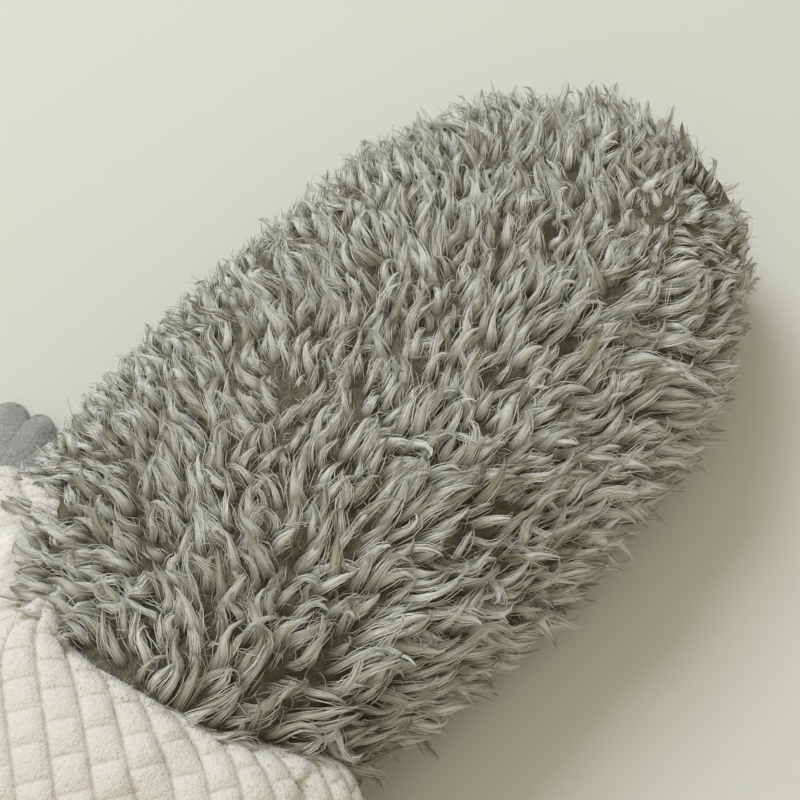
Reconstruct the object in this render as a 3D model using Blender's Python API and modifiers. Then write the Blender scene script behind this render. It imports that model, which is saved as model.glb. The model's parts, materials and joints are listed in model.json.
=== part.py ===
"""A shaggy hand puppet of the sock kind, lying on its belly on a table.

Lengths are in metres. +X runs from the cuff to the nose, +Y to the puppet's left and +Z up. The
origin is on the table, below the widest part of the body. The pile of the fur is part of each fur
panel, so a panel is as thick as its backing and the pile that stands on it.
"""

import math

import bmesh
import bpy
from mathutils import Matrix, Vector

# ---- The furry body -------------------------------------------------------------------------
NOSE_X = 0.140  # tip of the nose, over the pile
BODY_HALF_WIDTH = 0.079  # over the pile, at the widest place
BODY_HEIGHT = 0.076  # over the pile
MOUTH_LEVEL = 0.034  # height of the mouth line and of the side seams
SINK = 0.008  # how far the belly would hang below the table if it weren't flattened
PILE_SIDE = 0.015  # backing and pile at the sides and the nose
PILE_TOP = 0.013
PILE_UNDER = 0.005  # pressed flat by the table
SEAM_X = -0.146  # where the fur ends inside the cuff
NECK_HALF_WIDTH = 0.046  # over the backing, at that seam
NECK_PILE = 0.004  # pressed flat by the cuff
BACKING = 0.002  # the woven backing that the pile stands on

# ---- Mouth ----------------------------------------------------------------------------------
HINGE_X = 0.066  # corners of the mouth, which the head turns about
HEAD_ANGLE = 75.0  # degrees up from the mouth line to the back of the head
NAPE_ANGLE = 125.0  # degrees up from the mouth line to the front of the back panel
NAPE_RISE = 0.001  # how far above the mouth's corners the nape's wedge starts
PALATE_GAP = 0.0014  # between the mouth line and each palate
PALATE = 0.0015
PLATE = 0.002
TONGUE = 0.002
TONGUE_HALF_WIDTH = 0.014
TONGUE_LENGTH = 0.040
TONGUE_SETBACK = 0.006  # from the mouth's corners to the root of the tongue

# ---- Lining and wadding ---------------------------------------------------------------------
LINING = 0.0015
WADDING = 0.003
GAP = 0.0004  # between layers that lie on each other
SEAM_GAP = 0.0003  # between panels that are sewn edge to edge

# ---- Cuff -----------------------------------------------------------------------------------
CUFF_REAR_X = -0.195
CUFF_FRONT_X = -0.138  # at the top, in the middle
CUFF_HALF_WIDTH = 0.084
CUFF_TOP = 0.075
CUFF_MID = 0.036  # height of the cuff's widest line
CUFF_SINK = 0.001
CUFF_COVER = 0.002
CUFF_ROLL = (CUFF_HALF_WIDTH - NECK_HALF_WIDTH + CUFF_COVER) / 2  # half the wall, at the sides
CUFF_ROLL_HIGH = 0.016  # half of the padded wall's thickness, above and below the hand
OPENING_HALF_WIDTH = 0.054  # of the tunnel, at the rear of the cuff
LEFT_PULL = 0.031  # how far the cuff's left side is pulled forward over the fur
LEFT_PULL_FROM = 0.004  # distance from the middle at which that starts
LEFT_PULL_TO = 0.046
RIGHT_PULL = 0.024
FOLD_DEPTH = 0.006
FOLD_SPREAD = 8.0  # degrees
FOLD_ANGLES = (30.0, 82.0, 148.0, 232.0, 268.0, 308.0)  # degrees about the cuff, from its left

# ---- Eyes -----------------------------------------------------------------------------------
EYE_RADIUS = 0.0065
EYE_HEIGHT = 0.0055
EYE_STEM_RADIUS = 0.002
EYE_STEM_LENGTH = 0.0048
EYE_SOCKET_GAP = 0.0015
EYE_LATITUDE = 57.0  # degrees towards the nose
EYE_AROUND = 52.0  # degrees up from the side
WASHER_RADIUS = 0.006
WASHER = 0.0012
WASHER_DEPTH = 0.0010  # below the inner face of the backing

# ---- Feet -----------------------------------------------------------------------------------
FOOT_PIVOT_X = -0.145
LEFT_FOOT_AHEAD = 0.010  # how far the left foot's pivot is pulled forward with the cuff
FOOT_PIVOT_Y = 0.070
FOOT_HEEL = 0.013  # from the pivot back to the heel
FOOT_REACH = 0.075  # from the pivot to the tips of the toes
FOOT_HALF_WIDTH = 0.024
FOOT_TAPER = 0.006  # how much narrower each side is at the heel
FOOT_HEIGHT = 0.010
FOOT_FELT = 0.0015
TOE_SPACING = 22.5  # degrees about the middle of the foot
TOE_NOTCH = 0.14  # share of the foot's radius that a notch between toes takes
TOE_ROUNDNESS = 0.55  # 1 has pointed notches and round toes, less has squarer toes
TOE_SECTOR = 34.0  # degrees to each side that have toes
LEFT_FOOT_TURN = 39.0  # degrees from +X
RIGHT_FOOT_TURN = -118.0
JOINT_STEM_RADIUS = 0.002
JOINT_DISC_RADIUS = 0.0050
JOINT_DISC = 0.0015
JOINT_CLEARANCE = 0.0006
JOINT_DISC_LEVEL = 0.0035  # underside of the lower disc, inside the foot
JOINT_HEAD_LEVEL = 0.0190  # underside of the upper disc, inside the cuff

# ---- Fineness of the shapes -----------------------------------------------------------------
PLAN_POWER = 2.41  # 2 is an ellipse, more is squarer
SECTION_POWER = 2.4
HEIGHT_POWER = 0.8  # how slowly the height falls where the width narrows
BODY_SEGMENTS = 28
BODY_RINGS = 18
LAST_RING = 80.0  # degrees, the ring before a pole with that many rings
TUFT_DEPTH = 0.004  # the fur's outer face dips by so much between its main tufts
TUFTS_REAR_X = -0.100
TUFTS_FRONT_X = 0.048
TUFT_FADE = 0.015
CUFF_SEGMENTS = 48
ROLL_SEGMENTS = 10
FOOT_SEGMENTS = 40
FOOT_RINGS = 10
TOE_CROWDING = 0.6  # how much closer the segments are at the toes than at the heel
ROUND_SEGMENTS = 16
FAR = 0.5  # well outside the puppet

# ---- Colours: name, base colour, roughness --------------------------------------------------
FUR = ("fur", (0.52, 0.51, 0.45), 0.9)
WAFFLE = ("waffle_plush", (0.84, 0.80, 0.73), 0.95)
FELT = ("grey_felt", (0.36, 0.39, 0.39), 0.95)
LINING_CLOTH = ("lining_cloth", (0.62, 0.60, 0.55), 0.85)
FILLING = ("filling", (0.90, 0.90, 0.88), 1.0)
BOARD = ("board", (0.45, 0.40, 0.33), 0.8)
TONGUE_FELT = ("tongue_felt", (0.55, 0.30, 0.30), 0.95)
EYE_PLASTIC = ("eye_plastic", (0.02, 0.02, 0.02), 0.15)
JOINT_PLASTIC = ("joint_plastic", (0.85, 0.85, 0.82), 0.5)

collections = {}
materials = {}


def signed_power(value, power):
    return math.copysign(abs(value) ** power, value)


def material(finish):
    name, colour, roughness = finish
    if name not in materials:
        made = bpy.data.materials.new(name)
        made.use_nodes = True
        shader = made.node_tree.nodes["Principled BSDF"]
        shader.inputs["Base Color"].default_value = (*colour, 1.0)
        shader.inputs["Roughness"].default_value = roughness
        made.diffuse_color = (*colour, 1.0)
        materials[name] = made
    return materials[name]


def keep(name, shape, finish=None):
    """Makes an object of a bmesh: a piece of the puppet if it has a finish, or else a cutter."""
    mesh = bpy.data.meshes.new(name)
    shape.to_mesh(mesh)
    shape.free()
    thing = bpy.data.objects.new(name, mesh)
    if finish:
        collections["puppet"].objects.link(thing)
        mesh.materials.append(material(finish))
        mesh.shade_smooth()
    else:
        collections["cutters"].objects.link(thing)
        thing.hide_render = True
        thing.display_type = "WIRE"
    return thing


def keep_form(name, shape, finish=None):
    """Keeps a form with its four-sided faces split alike, so that one never crosses the next."""
    bmesh.ops.triangulate(shape, faces=shape.faces, quad_method="FIXED")
    return keep(name, shape, finish)


def cut(thing, *cutters, operation="DIFFERENCE"):
    for cutter in cutters:
        modifier = thing.modifiers.new(cutter.name, "BOOLEAN")
        modifier.operation = operation
        modifier.solver = "EXACT"
        modifier.object = cutter
    return thing


def within(thing, *regions):
    return cut(thing, *regions, operation="INTERSECT")


# ---- Forms of the body ----------------------------------------------------------------------
def pile_sizes(outset=0.0):
    """The outer face of the fur, or a face that far outside it."""
    return {
        "nose": NOSE_X + outset,
        "half_width": BODY_HALF_WIDTH + outset,
        "rise": BODY_HEIGHT - MOUTH_LEVEL + outset,
        "drop": MOUTH_LEVEL + SINK + outset,
        "neck": NECK_HALF_WIDTH + NECK_PILE + outset,
        "rear_x": SEAM_X - GAP - outset,
        "rear": NECK_HALF_WIDTH + NECK_PILE + outset,
    }


def skin_sizes(inset=0.0, rear_x=CUFF_REAR_X):
    """The inner face of the fur's backing, carried on through the cuff, or a face inside it."""
    return {
        "nose": NOSE_X - PILE_SIDE - inset,
        "half_width": BODY_HALF_WIDTH - PILE_SIDE - inset,
        "rise": BODY_HEIGHT - PILE_TOP - MOUTH_LEVEL - inset,
        "drop": MOUTH_LEVEL - PILE_UNDER - inset,
        "neck": NECK_HALF_WIDTH - inset,
        "rear_x": rear_x,
        "rear": OPENING_HALF_WIDTH - inset,
    }


def station(latitude, sizes):
    """The place along X, and the share of the full width there, of a ring of the body."""
    if latitude > 0:
        along = math.sin(math.radians(latitude)) ** (2 / PLAN_POWER)
        across = max(0.0, math.cos(math.radians(latitude))) ** (2 / PLAN_POWER)
        return sizes["nose"] * along, across
    x = sizes["rear_x"] * min(1.0, -latitude / LAST_RING)
    neck = sizes["neck"] / sizes["half_width"]
    if x >= SEAM_X:
        return x, 1 - (1 - neck) * (x / SEAM_X) ** PLAN_POWER
    rear = sizes["rear"] / sizes["half_width"]
    return x, neck + (rear - neck) * (SEAM_X - x) / (SEAM_X - CUFF_REAR_X)


def body_point(latitude, around, sizes):
    x, share = station(latitude, sizes)
    side = math.cos(math.radians(around))
    up = math.sin(math.radians(around))
    height = sizes["rise"] if up > 0 else sizes["drop"]
    return Vector(
        (
            x,
            sizes["half_width"] * share * signed_power(side, 2 / SECTION_POWER),
            MOUTH_LEVEL + height * share**HEIGHT_POWER * signed_power(up, 2 / SECTION_POWER),
        )
    )


def tuft_dip(latitude, around):
    """How far the fur's outer face dips at a vertex, between the main tufts of its pile.

    Tops and dips take turns from ring to ring and down both sides alike. They fade out by the
    cuff and by the neck's bend.
    """
    x = body_point(latitude, 0, pile_sizes())[0]
    fade = min(1.0, (x - TUFTS_REAR_X) / TUFT_FADE, (TUFTS_FRONT_X - x) / TUFT_FADE)
    ring = latitude * BODY_RINGS / 180
    from_top = abs((around + 90) % 360 - 180) * BODY_SEGMENTS / 360
    swing = math.cos(math.pi * (ring + from_top))
    size = 0.75 + 0.25 * math.cos(2.1 * ring + 3.3 * from_top)
    return TUFT_DEPTH * max(0.0, fade) * (0.5 - 0.5 * swing * size)


def body_form(name, sizes, finish=None, tufted=False):
    """A sphere pulled out into the body: its poles are the nose and the middle of the rear."""
    shape = bmesh.new()
    bmesh.ops.create_uvsphere(
        shape, u_segments=BODY_SEGMENTS, v_segments=BODY_RINGS, radius=1
    )
    for vertex in shape.verts:
        x, y, z = vertex.co
        latitude = math.degrees(math.asin(max(-1.0, min(1.0, z))))
        if abs(latitude) > LAST_RING + 5:
            pole_x = sizes["nose"] if z > 0 else sizes["rear_x"]
            vertex.co = (pole_x, 0, MOUTH_LEVEL)
        else:
            around = math.degrees(math.atan2(y, x))
            here = pile_sizes(-tuft_dip(latitude, around)) if tufted else sizes
            vertex.co = body_point(latitude, around, here)
    return keep_form(name, shape, finish)


def prism(name, outline):
    """A region seen from the side: its outline in X and Z, carried far out to both sides."""
    shape = bmesh.new()
    corners = [shape.verts.new((x, -FAR, z)) for x, z in outline]
    face = shape.faces.new(corners)
    grown = bmesh.ops.extrude_face_region(shape, geom=[face])
    moved = [item for item in grown["geom"] if isinstance(item, bmesh.types.BMVert)]
    bmesh.ops.translate(shape, verts=moved, vec=(0, 2 * FAR, 0))
    bmesh.ops.recalc_face_normals(shape, faces=shape.faces)
    return keep(name, shape)


def ray(angle, side, rise=SEAM_GAP):
    """Two points of a plane through the mouth's corners, moved off it by the seam's gap.

    The angle is in degrees up from the mouth line. side is 1 for the plane's front and -1 for
    its back, and rise is the height of the first point above the mouth line.
    """
    lean = math.radians(angle)
    shift = side * SEAM_GAP / math.sin(lean)
    return [
        (HINGE_X + shift + (z - MOUTH_LEVEL) / math.tan(lean), z)
        for z in (MOUTH_LEVEL + rise, FAR)
    ]


def box_region(name, low, high):
    shape = bmesh.new()
    bmesh.ops.create_cube(shape, size=1)
    low, high = Vector(low), Vector(high)
    bmesh.ops.scale(shape, verts=shape.verts, vec=high - low)
    bmesh.ops.translate(shape, verts=shape.verts, vec=(low + high) / 2)
    return keep(name, shape)


def turned(name, profile, finish=None):
    """A profile of (radius, height), from the top down, turned about the Z axis."""
    shape = bmesh.new()
    points = [shape.verts.new((r, 0, z)) for r, z in profile]
    for first, second in zip(points, points[1:]):
        shape.edges.new((first, second))
    if profile[0][0] > 0 and profile[-1][0] > 0:
        shape.edges.new((points[-1], points[0]))
    thing = keep(name, shape, finish)
    screw = thing.modifiers.new("turn", "SCREW")
    screw.axis = "Z"
    screw.steps = screw.render_steps = ROUND_SEGMENTS
    screw.use_merge_vertices = True
    screw.merge_threshold = 0.00001
    return thing


# ---- Regions that the panels are cut to -----------------------------------------------------
def make_regions():
    front, back = 1, -1
    return {
        "back": prism(
            "region_back",
            [(SEAM_X, MOUTH_LEVEL + SEAM_GAP), *ray(NAPE_ANGLE, back), (-FAR, FAR),
             (-FAR, FAR / 2), (SEAM_X, FAR / 2)],
        ),
        "belly": prism(
            "region_belly",
            [(SEAM_X, 0), (HINGE_X - SEAM_GAP, 0), (HINGE_X - SEAM_GAP, MOUTH_LEVEL - SEAM_GAP),
             (SEAM_X, MOUTH_LEVEL - SEAM_GAP)],
        ),
        "jaw": prism(
            "region_jaw",
            [(HINGE_X + SEAM_GAP, 0), (FAR, 0), (FAR, MOUTH_LEVEL - SEAM_GAP),
             (HINGE_X + SEAM_GAP, MOUTH_LEVEL - SEAM_GAP)],
        ),
        "nape": prism(
            "region_nape",
            [*ray(NAPE_ANGLE, front, NAPE_RISE), *reversed(ray(HEAD_ANGLE, back, NAPE_RISE))],
        ),
        "head": prism(
            "region_head", [*reversed(ray(HEAD_ANGLE, front)), (FAR, MOUTH_LEVEL + SEAM_GAP),
                            (FAR, FAR)]
        ),
        "sleeve": prism(
            "region_sleeve",
            [(CUFF_REAR_X, -FAR), (HINGE_X - SEAM_GAP, -FAR),
             (HINGE_X - SEAM_GAP, MOUTH_LEVEL - SEAM_GAP), *ray(NAPE_ANGLE, back),
             (-FAR, FAR), (-FAR, FAR / 2), (CUFF_REAR_X, FAR / 2)],
        ),
    }


def palate_levels():
    """Heights of the palates' and plates' faces, above or below the mouth line."""
    palate_far = PALATE_GAP + PALATE
    plate_near = palate_far + SEAM_GAP
    plate_far = plate_near + PLATE
    return palate_far, plate_near, plate_far


# ---- The pieces -----------------------------------------------------------------------------
def make_fur(regions, skin):
    for panel in ("back", "belly", "nape", "jaw", "head"):
        fur = body_form(f"fur_{panel}", pile_sizes(), FUR, tufted=True)
        cut(fur, skin)
        within(fur, regions[panel])


def shell(name, outer_inset, thickness, finish):
    """A layer inside the backing, that far in and that thick. It is still open nowhere."""
    inner = body_form(
        f"inside_{name}",
        skin_sizes(outer_inset + thickness, CUFF_REAR_X - 2 * thickness - GAP),
    )
    return cut(body_form(name, skin_sizes(outer_inset, CUFF_REAR_X - GAP), finish), inner)


def make_linings(regions):
    within(shell("lining_sleeve", GAP, LINING, LINING_CLOTH), regions["sleeve"])
    within(shell("lining_nape", GAP, LINING, LINING_CLOTH), regions["nape"])
    plate_far = palate_levels()[2]
    above = box_region(
        "above_plate", (0, -FAR, MOUTH_LEVEL + plate_far + SEAM_GAP), (FAR, FAR, FAR)
    )
    below = box_region(
        "below_plate",
        (HINGE_X + SEAM_GAP, -FAR, -FAR),
        (FAR, FAR, MOUTH_LEVEL - plate_far - SEAM_GAP),
    )
    pocket_inset = GAP + WADDING + GAP
    within(shell("finger_pocket", pocket_inset, LINING, LINING_CLOTH), regions["head"], above)
    within(shell("thumb_pocket", pocket_inset, LINING, LINING_CLOTH), below)
    within(shell("head_wadding", GAP, WADDING, FILLING), regions["head"], above)
    within(shell("jaw_wadding", GAP, WADDING, FILLING), below)


def make_mouth():
    palate_far, plate_near, plate_far = palate_levels()
    layers = (
        ("palate", PALATE_GAP, palate_far, FELT),
        ("mouth_plate", plate_near, plate_far, BOARD),
    )
    for side, word in ((1, "upper"), (-1, "lower")):
        for name, near, far, finish in layers:
            low, high = sorted((MOUTH_LEVEL + side * near, MOUTH_LEVEL + side * far))
            region = box_region(
                f"level_{name}_{word}", (HINGE_X + PALATE_GAP, -FAR, low), (FAR, FAR, high)
            )
            within(body_form(f"{name}_{word}", skin_sizes(GAP), finish), region)
    make_tongue(MOUTH_LEVEL - PALATE_GAP + SEAM_GAP)


def make_tongue(level):
    """A felt strip with a round tip, lying on the lower palate."""
    root = HINGE_X + TONGUE_SETBACK
    middle = root + TONGUE_LENGTH - TONGUE_HALF_WIDTH
    shape = bmesh.new()
    outline = [(root, TONGUE_HALF_WIDTH), (root, -TONGUE_HALF_WIDTH)]
    for step in range(ROUND_SEGMENTS // 2 + 1):
        turn = -math.pi / 2 + math.pi * step / (ROUND_SEGMENTS // 2)
        outline.append(
            (middle + TONGUE_HALF_WIDTH * math.cos(turn), TONGUE_HALF_WIDTH * math.sin(turn))
        )
    face = shape.faces.new([shape.verts.new((x, y, level)) for x, y in outline])
    grown = bmesh.ops.extrude_face_region(shape, geom=[face])
    moved = [item for item in grown["geom"] if isinstance(item, bmesh.types.BMVert)]
    bmesh.ops.translate(shape, verts=moved, vec=(0, 0, TONGUE))
    bmesh.ops.recalc_face_normals(shape, faces=shape.faces)
    keep("tongue", shape, TONGUE_FELT)


# ---- Cuff -----------------------------------------------------------------------------------
def cuff_front(y):
    """Where the cuff's front edge is, at a distance y to the left of the middle."""
    if y < 0:
        return CUFF_FRONT_X + RIGHT_PULL * (y / CUFF_HALF_WIDTH) ** 2
    share = (y - LEFT_PULL_FROM) / (LEFT_PULL_TO - LEFT_PULL_FROM)
    share = max(0.0, min(1.0, share))
    return CUFF_FRONT_X + LEFT_PULL * share * share * (3 - 2 * share)


def fold(angle):
    """How deep the gathers draw the cuff in, at an angle in degrees from its left."""
    depth = 0.0
    for valley in FOLD_ANGLES:
        away = (angle - valley + 180) % 360 - 180
        depth += FOLD_DEPTH * math.exp(-((away / FOLD_SPREAD) ** 2))
    return depth


def cuff_form(name, inset, finish=None):
    """A torus laid out into the cuff's padded roll, or into one that is smaller by the inset."""
    ring, tube = 1.0, 0.25
    bpy.ops.mesh.primitive_torus_add(
        major_segments=CUFF_SEGMENTS, minor_segments=ROLL_SEGMENTS,
        major_radius=ring, minor_radius=tube,
    )
    torus = bpy.context.object
    shape = bmesh.new()
    shape.from_mesh(torus.data)
    bpy.data.objects.remove(torus)
    for vertex in shape.verts:
        x, y, z = vertex.co
        angle = math.degrees(math.atan2(y, x)) % 360
        out = (math.hypot(x, y) - ring) / tube
        side = signed_power(math.cos(math.radians(angle)), 2 / SECTION_POWER)
        up = signed_power(math.sin(math.radians(angle)), 2 / SECTION_POWER)
        rise = (CUFF_TOP - CUFF_MID if up > 0 else CUFF_MID + CUFF_SINK) - CUFF_ROLL_HIGH
        bulge = signed_power(out, 2 / SECTION_POWER)
        drawn_in = fold(angle) * max(0.0, out)
        front = cuff_front(CUFF_HALF_WIDTH * side) - inset
        rear = CUFF_REAR_X + inset
        along = signed_power(z / tube, 2 / SECTION_POWER)
        vertex.co = (
            (front + rear) / 2 + (front - rear) / 2 * along,
            (CUFF_HALF_WIDTH - CUFF_ROLL + (CUFF_ROLL - inset) * bulge - drawn_in) * side,
            CUFF_MID + (rise + (CUFF_ROLL_HIGH - inset) * bulge - drawn_in) * up,
        )
    return keep_form(name, shape, finish)


def make_cuff():
    above_table = box_region("above_table", (-FAR, -FAR, 0), (FAR, FAR, FAR))
    tunnel_rear = CUFF_REAR_X - CUFF_ROLL
    tunnel = body_form("tunnel", skin_sizes(-GAP, tunnel_rear))
    cover = CUFF_COVER
    hollow = cut(
        cuff_form("inside_cuff_cover", cover),
        body_form("fur_end_and_cover", pile_sizes(GAP + cover)),
    )
    inside = box_region("above_cover", (-FAR, -FAR, cover), (FAR, FAR, FAR))
    within(hollow, inside)
    joints = [joint_space("cuff", side) for side in (1, -1)]
    cuff = cuff_form("cuff_cover", 0.0, WAFFLE)
    cut(cuff, body_form("fur_end", pile_sizes(GAP)), hollow, tunnel, *joints)
    within(cuff, above_table)

    filling_region = box_region("above_filling", (-FAR, -FAR, cover + GAP), (FAR, FAR, FAR))
    filling = cuff_form("cuff_wadding", cover + GAP, FILLING)
    fur_end = body_form("fur_end_and_filling", pile_sizes(cover + 2 * GAP))
    cut(filling, fur_end, body_form("tunnel_wide", skin_sizes(-2 * GAP, tunnel_rear)), *joints)
    within(filling, filling_region)


# ---- Eyes -----------------------------------------------------------------------------------
def eye_place(side):
    """The turn and place of an eye on the inner face of the backing: its Z axis points out."""
    sizes = skin_sizes()
    around = EYE_AROUND if side > 0 else 180 - EYE_AROUND
    here = body_point(EYE_LATITUDE, around, sizes)
    ahead = body_point(EYE_LATITUDE + 1, around, sizes) - here
    beside = body_point(EYE_LATITUDE, around + 1, sizes) - here
    out = beside.cross(ahead).normalized()
    if out.x < 0:
        out.negate()
    turn = out.to_track_quat("Z", "Y").to_matrix().to_4x4()
    return Matrix.Translation(here) @ turn


def make_eyes():
    """Each eye has a domed head and a stem, held inside the backing by a washer."""
    stem_end = BACKING - EYE_STEM_LENGTH
    base = BACKING + SEAM_GAP
    dome = [
        (EYE_RADIUS * math.sin(math.radians(a)), base + EYE_HEIGHT * math.cos(math.radians(a)))
        for a in range(0, 91, 15)
    ]
    eye = [*dome, (EYE_STEM_RADIUS, base), (EYE_STEM_RADIUS, stem_end), (0, stem_end)]
    hole = EYE_STEM_RADIUS + SEAM_GAP
    top, low = -WASHER_DEPTH, -WASHER_DEPTH - WASHER
    washer = [(hole, top), (WASHER_RADIUS, top), (WASHER_RADIUS, low), (hole, low)]
    socket = EYE_RADIUS + EYE_SOCKET_GAP
    opening = [
        (0, 2 * PILE_SIDE), (socket, 2 * PILE_SIDE), (socket, BACKING), (hole, BACKING),
        (hole, -BACKING), (0, -BACKING),
    ]
    recess_radius = WASHER_RADIUS + EYE_SOCKET_GAP
    recess = [(0, BACKING), (recess_radius, BACKING), (recess_radius, -2 * WADDING),
              (0, -2 * WADDING)]
    for side, word in ((1, "left"), (-1, "right")):
        place = eye_place(side)
        turned(f"eye_{word}", eye, EYE_PLASTIC).matrix_world = place
        turned(f"eye_washer_{word}", washer, JOINT_PLASTIC).matrix_world = place
        socket_cutter = turned(f"eye_socket_{word}", opening)
        socket_cutter.matrix_world = place
        recess_cutter = turned(f"washer_recess_{word}", recess)
        recess_cutter.matrix_world = place
        cut(bpy.data.objects["fur_head"], socket_cutter)
        cut(bpy.data.objects["head_wadding"], recess_cutter)


# ---- Feet -----------------------------------------------------------------------------------
def foot_radius(angle):
    """The foot's outline about its middle, at an angle in radians from the toes' direction."""
    length = (FOOT_REACH + FOOT_HEEL) / 2
    width = FOOT_HALF_WIDTH - FOOT_TAPER * (1 - math.cos(angle)) / 2
    along = (abs(math.cos(angle)) / length) ** SECTION_POWER
    across = (abs(math.sin(angle)) / width) ** SECTION_POWER
    radius = (along + across) ** (-1 / SECTION_POWER)
    turn = abs(math.degrees(angle))
    if turn < TOE_SECTOR:
        notch = 1 - abs(math.cos(math.pi * turn / TOE_SPACING)) ** TOE_ROUNDNESS
        radius *= 1 - TOE_NOTCH * notch
    return radius


def foot_form(name, inset, finish=None):
    """A sphere drawn out into the foot: flat below and domed above, its pivot at the origin."""
    shape = bmesh.new()
    bmesh.ops.create_uvsphere(
        shape, u_segments=FOOT_SEGMENTS, v_segments=FOOT_RINGS, radius=1
    )
    middle = (FOOT_REACH - FOOT_HEEL) / 2
    for vertex in shape.verts:
        x, y, z = vertex.co
        turn = math.atan2(y, x)
        angle = turn - TOE_CROWDING * math.sin(turn)
        spread = signed_power(math.hypot(x, y), 2 / SECTION_POWER)
        radius = (foot_radius(angle) - inset) * spread
        level = (FOOT_HEIGHT - inset) * signed_power(z, 2 / SECTION_POWER)
        vertex.co = (middle + radius * math.cos(angle), radius * math.sin(angle), level)
    return keep_form(name, shape, finish)


def foot_place(side):
    turn = LEFT_FOOT_TURN if side > 0 else RIGHT_FOOT_TURN
    pivot_x = FOOT_PIVOT_X + (LEFT_FOOT_AHEAD if side > 0 else 0)
    pivot = Matrix.Translation((pivot_x, side * FOOT_PIVOT_Y, 0))
    return pivot @ Matrix.Rotation(math.radians(turn), 4, "Z")


def joint_space(owner, side):
    """Room for the joint to turn in a foot or in the cuff: a hole for the stem and for a disc."""
    hole = JOINT_STEM_RADIUS + JOINT_CLEARANCE
    room = JOINT_DISC_RADIUS + JOINT_CLEARANCE
    if owner == "cuff":
        low = JOINT_HEAD_LEVEL - JOINT_CLEARANCE
        high = JOINT_HEAD_LEVEL + JOINT_DISC + JOINT_CLEARANCE
        profile = [(0, high), (room, high), (room, low), (hole, low), (hole, 0), (0, 0)]
    else:
        low = JOINT_DISC_LEVEL - SEAM_GAP
        high = JOINT_DISC_LEVEL + JOINT_DISC + SEAM_GAP
        hole = JOINT_STEM_RADIUS + SEAM_GAP
        profile = [(0, CUFF_MID), (hole, CUFF_MID), (hole, high), (room, high), (room, low),
                   (0, low)]
    word = "left" if side > 0 else "right"
    space = turned(f"joint_space_{owner}_{word}", profile)
    space.matrix_world = foot_place(side)
    return space


def make_foot(side):
    """A felt upper and sole round a filling, and the disc joint that it swings on."""
    word = "left" if side > 0 else "right"
    place = foot_place(side)
    seam = FOOT_FELT + SEAM_GAP
    upper_region = box_region(f"upper_{word}", (-FAR, -FAR, seam), (FAR, FAR, FAR))
    sole_region = box_region(f"sole_{word}", (-FAR, -FAR, 0), (FAR, FAR, FOOT_FELT))
    filling_region = box_region(f"filling_{word}", (-FAR, -FAR, seam + GAP), (FAR, FAR, FAR))
    hollow = foot_form(f"inside_foot_{word}", FOOT_FELT)
    space = joint_space("foot", side)

    upper = foot_form(f"foot_{word}_upper", 0.0, FELT)
    sole = foot_form(f"foot_{word}_sole", 0.0, FELT)
    filling = foot_form(f"foot_{word}_wadding", FOOT_FELT + GAP, FILLING)
    for piece in (hollow, upper, sole, filling):
        piece.matrix_world = place
    within(cut(upper, hollow, space), upper_region)
    within(sole, sole_region)
    within(cut(filling, space), filling_region)

    disc, stem = JOINT_DISC_RADIUS, JOINT_STEM_RADIUS
    head, foot = JOINT_HEAD_LEVEL, JOINT_DISC_LEVEL
    joint = turned(
        f"foot_{word}_joint",
        [(0, head + JOINT_DISC), (disc, head + JOINT_DISC), (disc, head), (stem, head),
         (stem, foot + JOINT_DISC), (disc, foot + JOINT_DISC), (disc, foot), (0, foot)],
        JOINT_PLASTIC,
    )
    joint.matrix_world = place


def main():
    for thing in list(bpy.data.objects):
        bpy.data.objects.remove(thing)
    for name in ("puppet", "cutters"):
        collections[name] = bpy.data.collections.new(name)
        bpy.context.scene.collection.children.link(collections[name])
    regions = make_regions()
    skin = body_form("skin", skin_sizes())
    make_fur(regions, skin)
    make_linings(regions)
    make_mouth()
    make_cuff()
    make_eyes()
    for side in (1, -1):
        make_foot(side)


main()
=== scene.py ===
"""The looks of a shaggy hand puppet that lies on its belly on a table.

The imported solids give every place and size. This script lays the locks of the fur, pads the cuff,
shapes the felt feet and the mouth, and dresses each of them. Lengths are in metres, +X runs from
the cuff to the nose, +Y to the puppet's left and +Z up.
"""

from __future__ import annotations

import json
import logging
import math
from dataclasses import dataclass
from enum import Enum

import bmesh
import bpy
import numpy as np
from mathutils import Matrix, Vector, noise

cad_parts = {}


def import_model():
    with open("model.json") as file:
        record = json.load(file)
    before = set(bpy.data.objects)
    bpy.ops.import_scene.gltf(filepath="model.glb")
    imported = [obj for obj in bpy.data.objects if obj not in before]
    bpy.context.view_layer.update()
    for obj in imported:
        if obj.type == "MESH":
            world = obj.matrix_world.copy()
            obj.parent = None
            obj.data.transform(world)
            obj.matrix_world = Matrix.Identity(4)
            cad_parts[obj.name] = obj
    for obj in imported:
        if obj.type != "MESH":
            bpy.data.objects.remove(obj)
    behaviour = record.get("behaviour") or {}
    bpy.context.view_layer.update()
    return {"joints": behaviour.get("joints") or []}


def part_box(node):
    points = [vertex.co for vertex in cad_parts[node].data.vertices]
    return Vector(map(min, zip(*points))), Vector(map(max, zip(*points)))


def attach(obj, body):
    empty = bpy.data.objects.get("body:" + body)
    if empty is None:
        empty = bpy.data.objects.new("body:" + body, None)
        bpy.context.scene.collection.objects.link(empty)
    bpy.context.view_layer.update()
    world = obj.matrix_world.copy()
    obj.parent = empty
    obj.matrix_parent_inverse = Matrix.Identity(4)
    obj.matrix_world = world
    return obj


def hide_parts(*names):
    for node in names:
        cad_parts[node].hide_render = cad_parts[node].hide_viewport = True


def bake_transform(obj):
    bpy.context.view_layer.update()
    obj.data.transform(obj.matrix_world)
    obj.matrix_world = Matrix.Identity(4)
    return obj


log = logging.getLogger("puppet")

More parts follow.
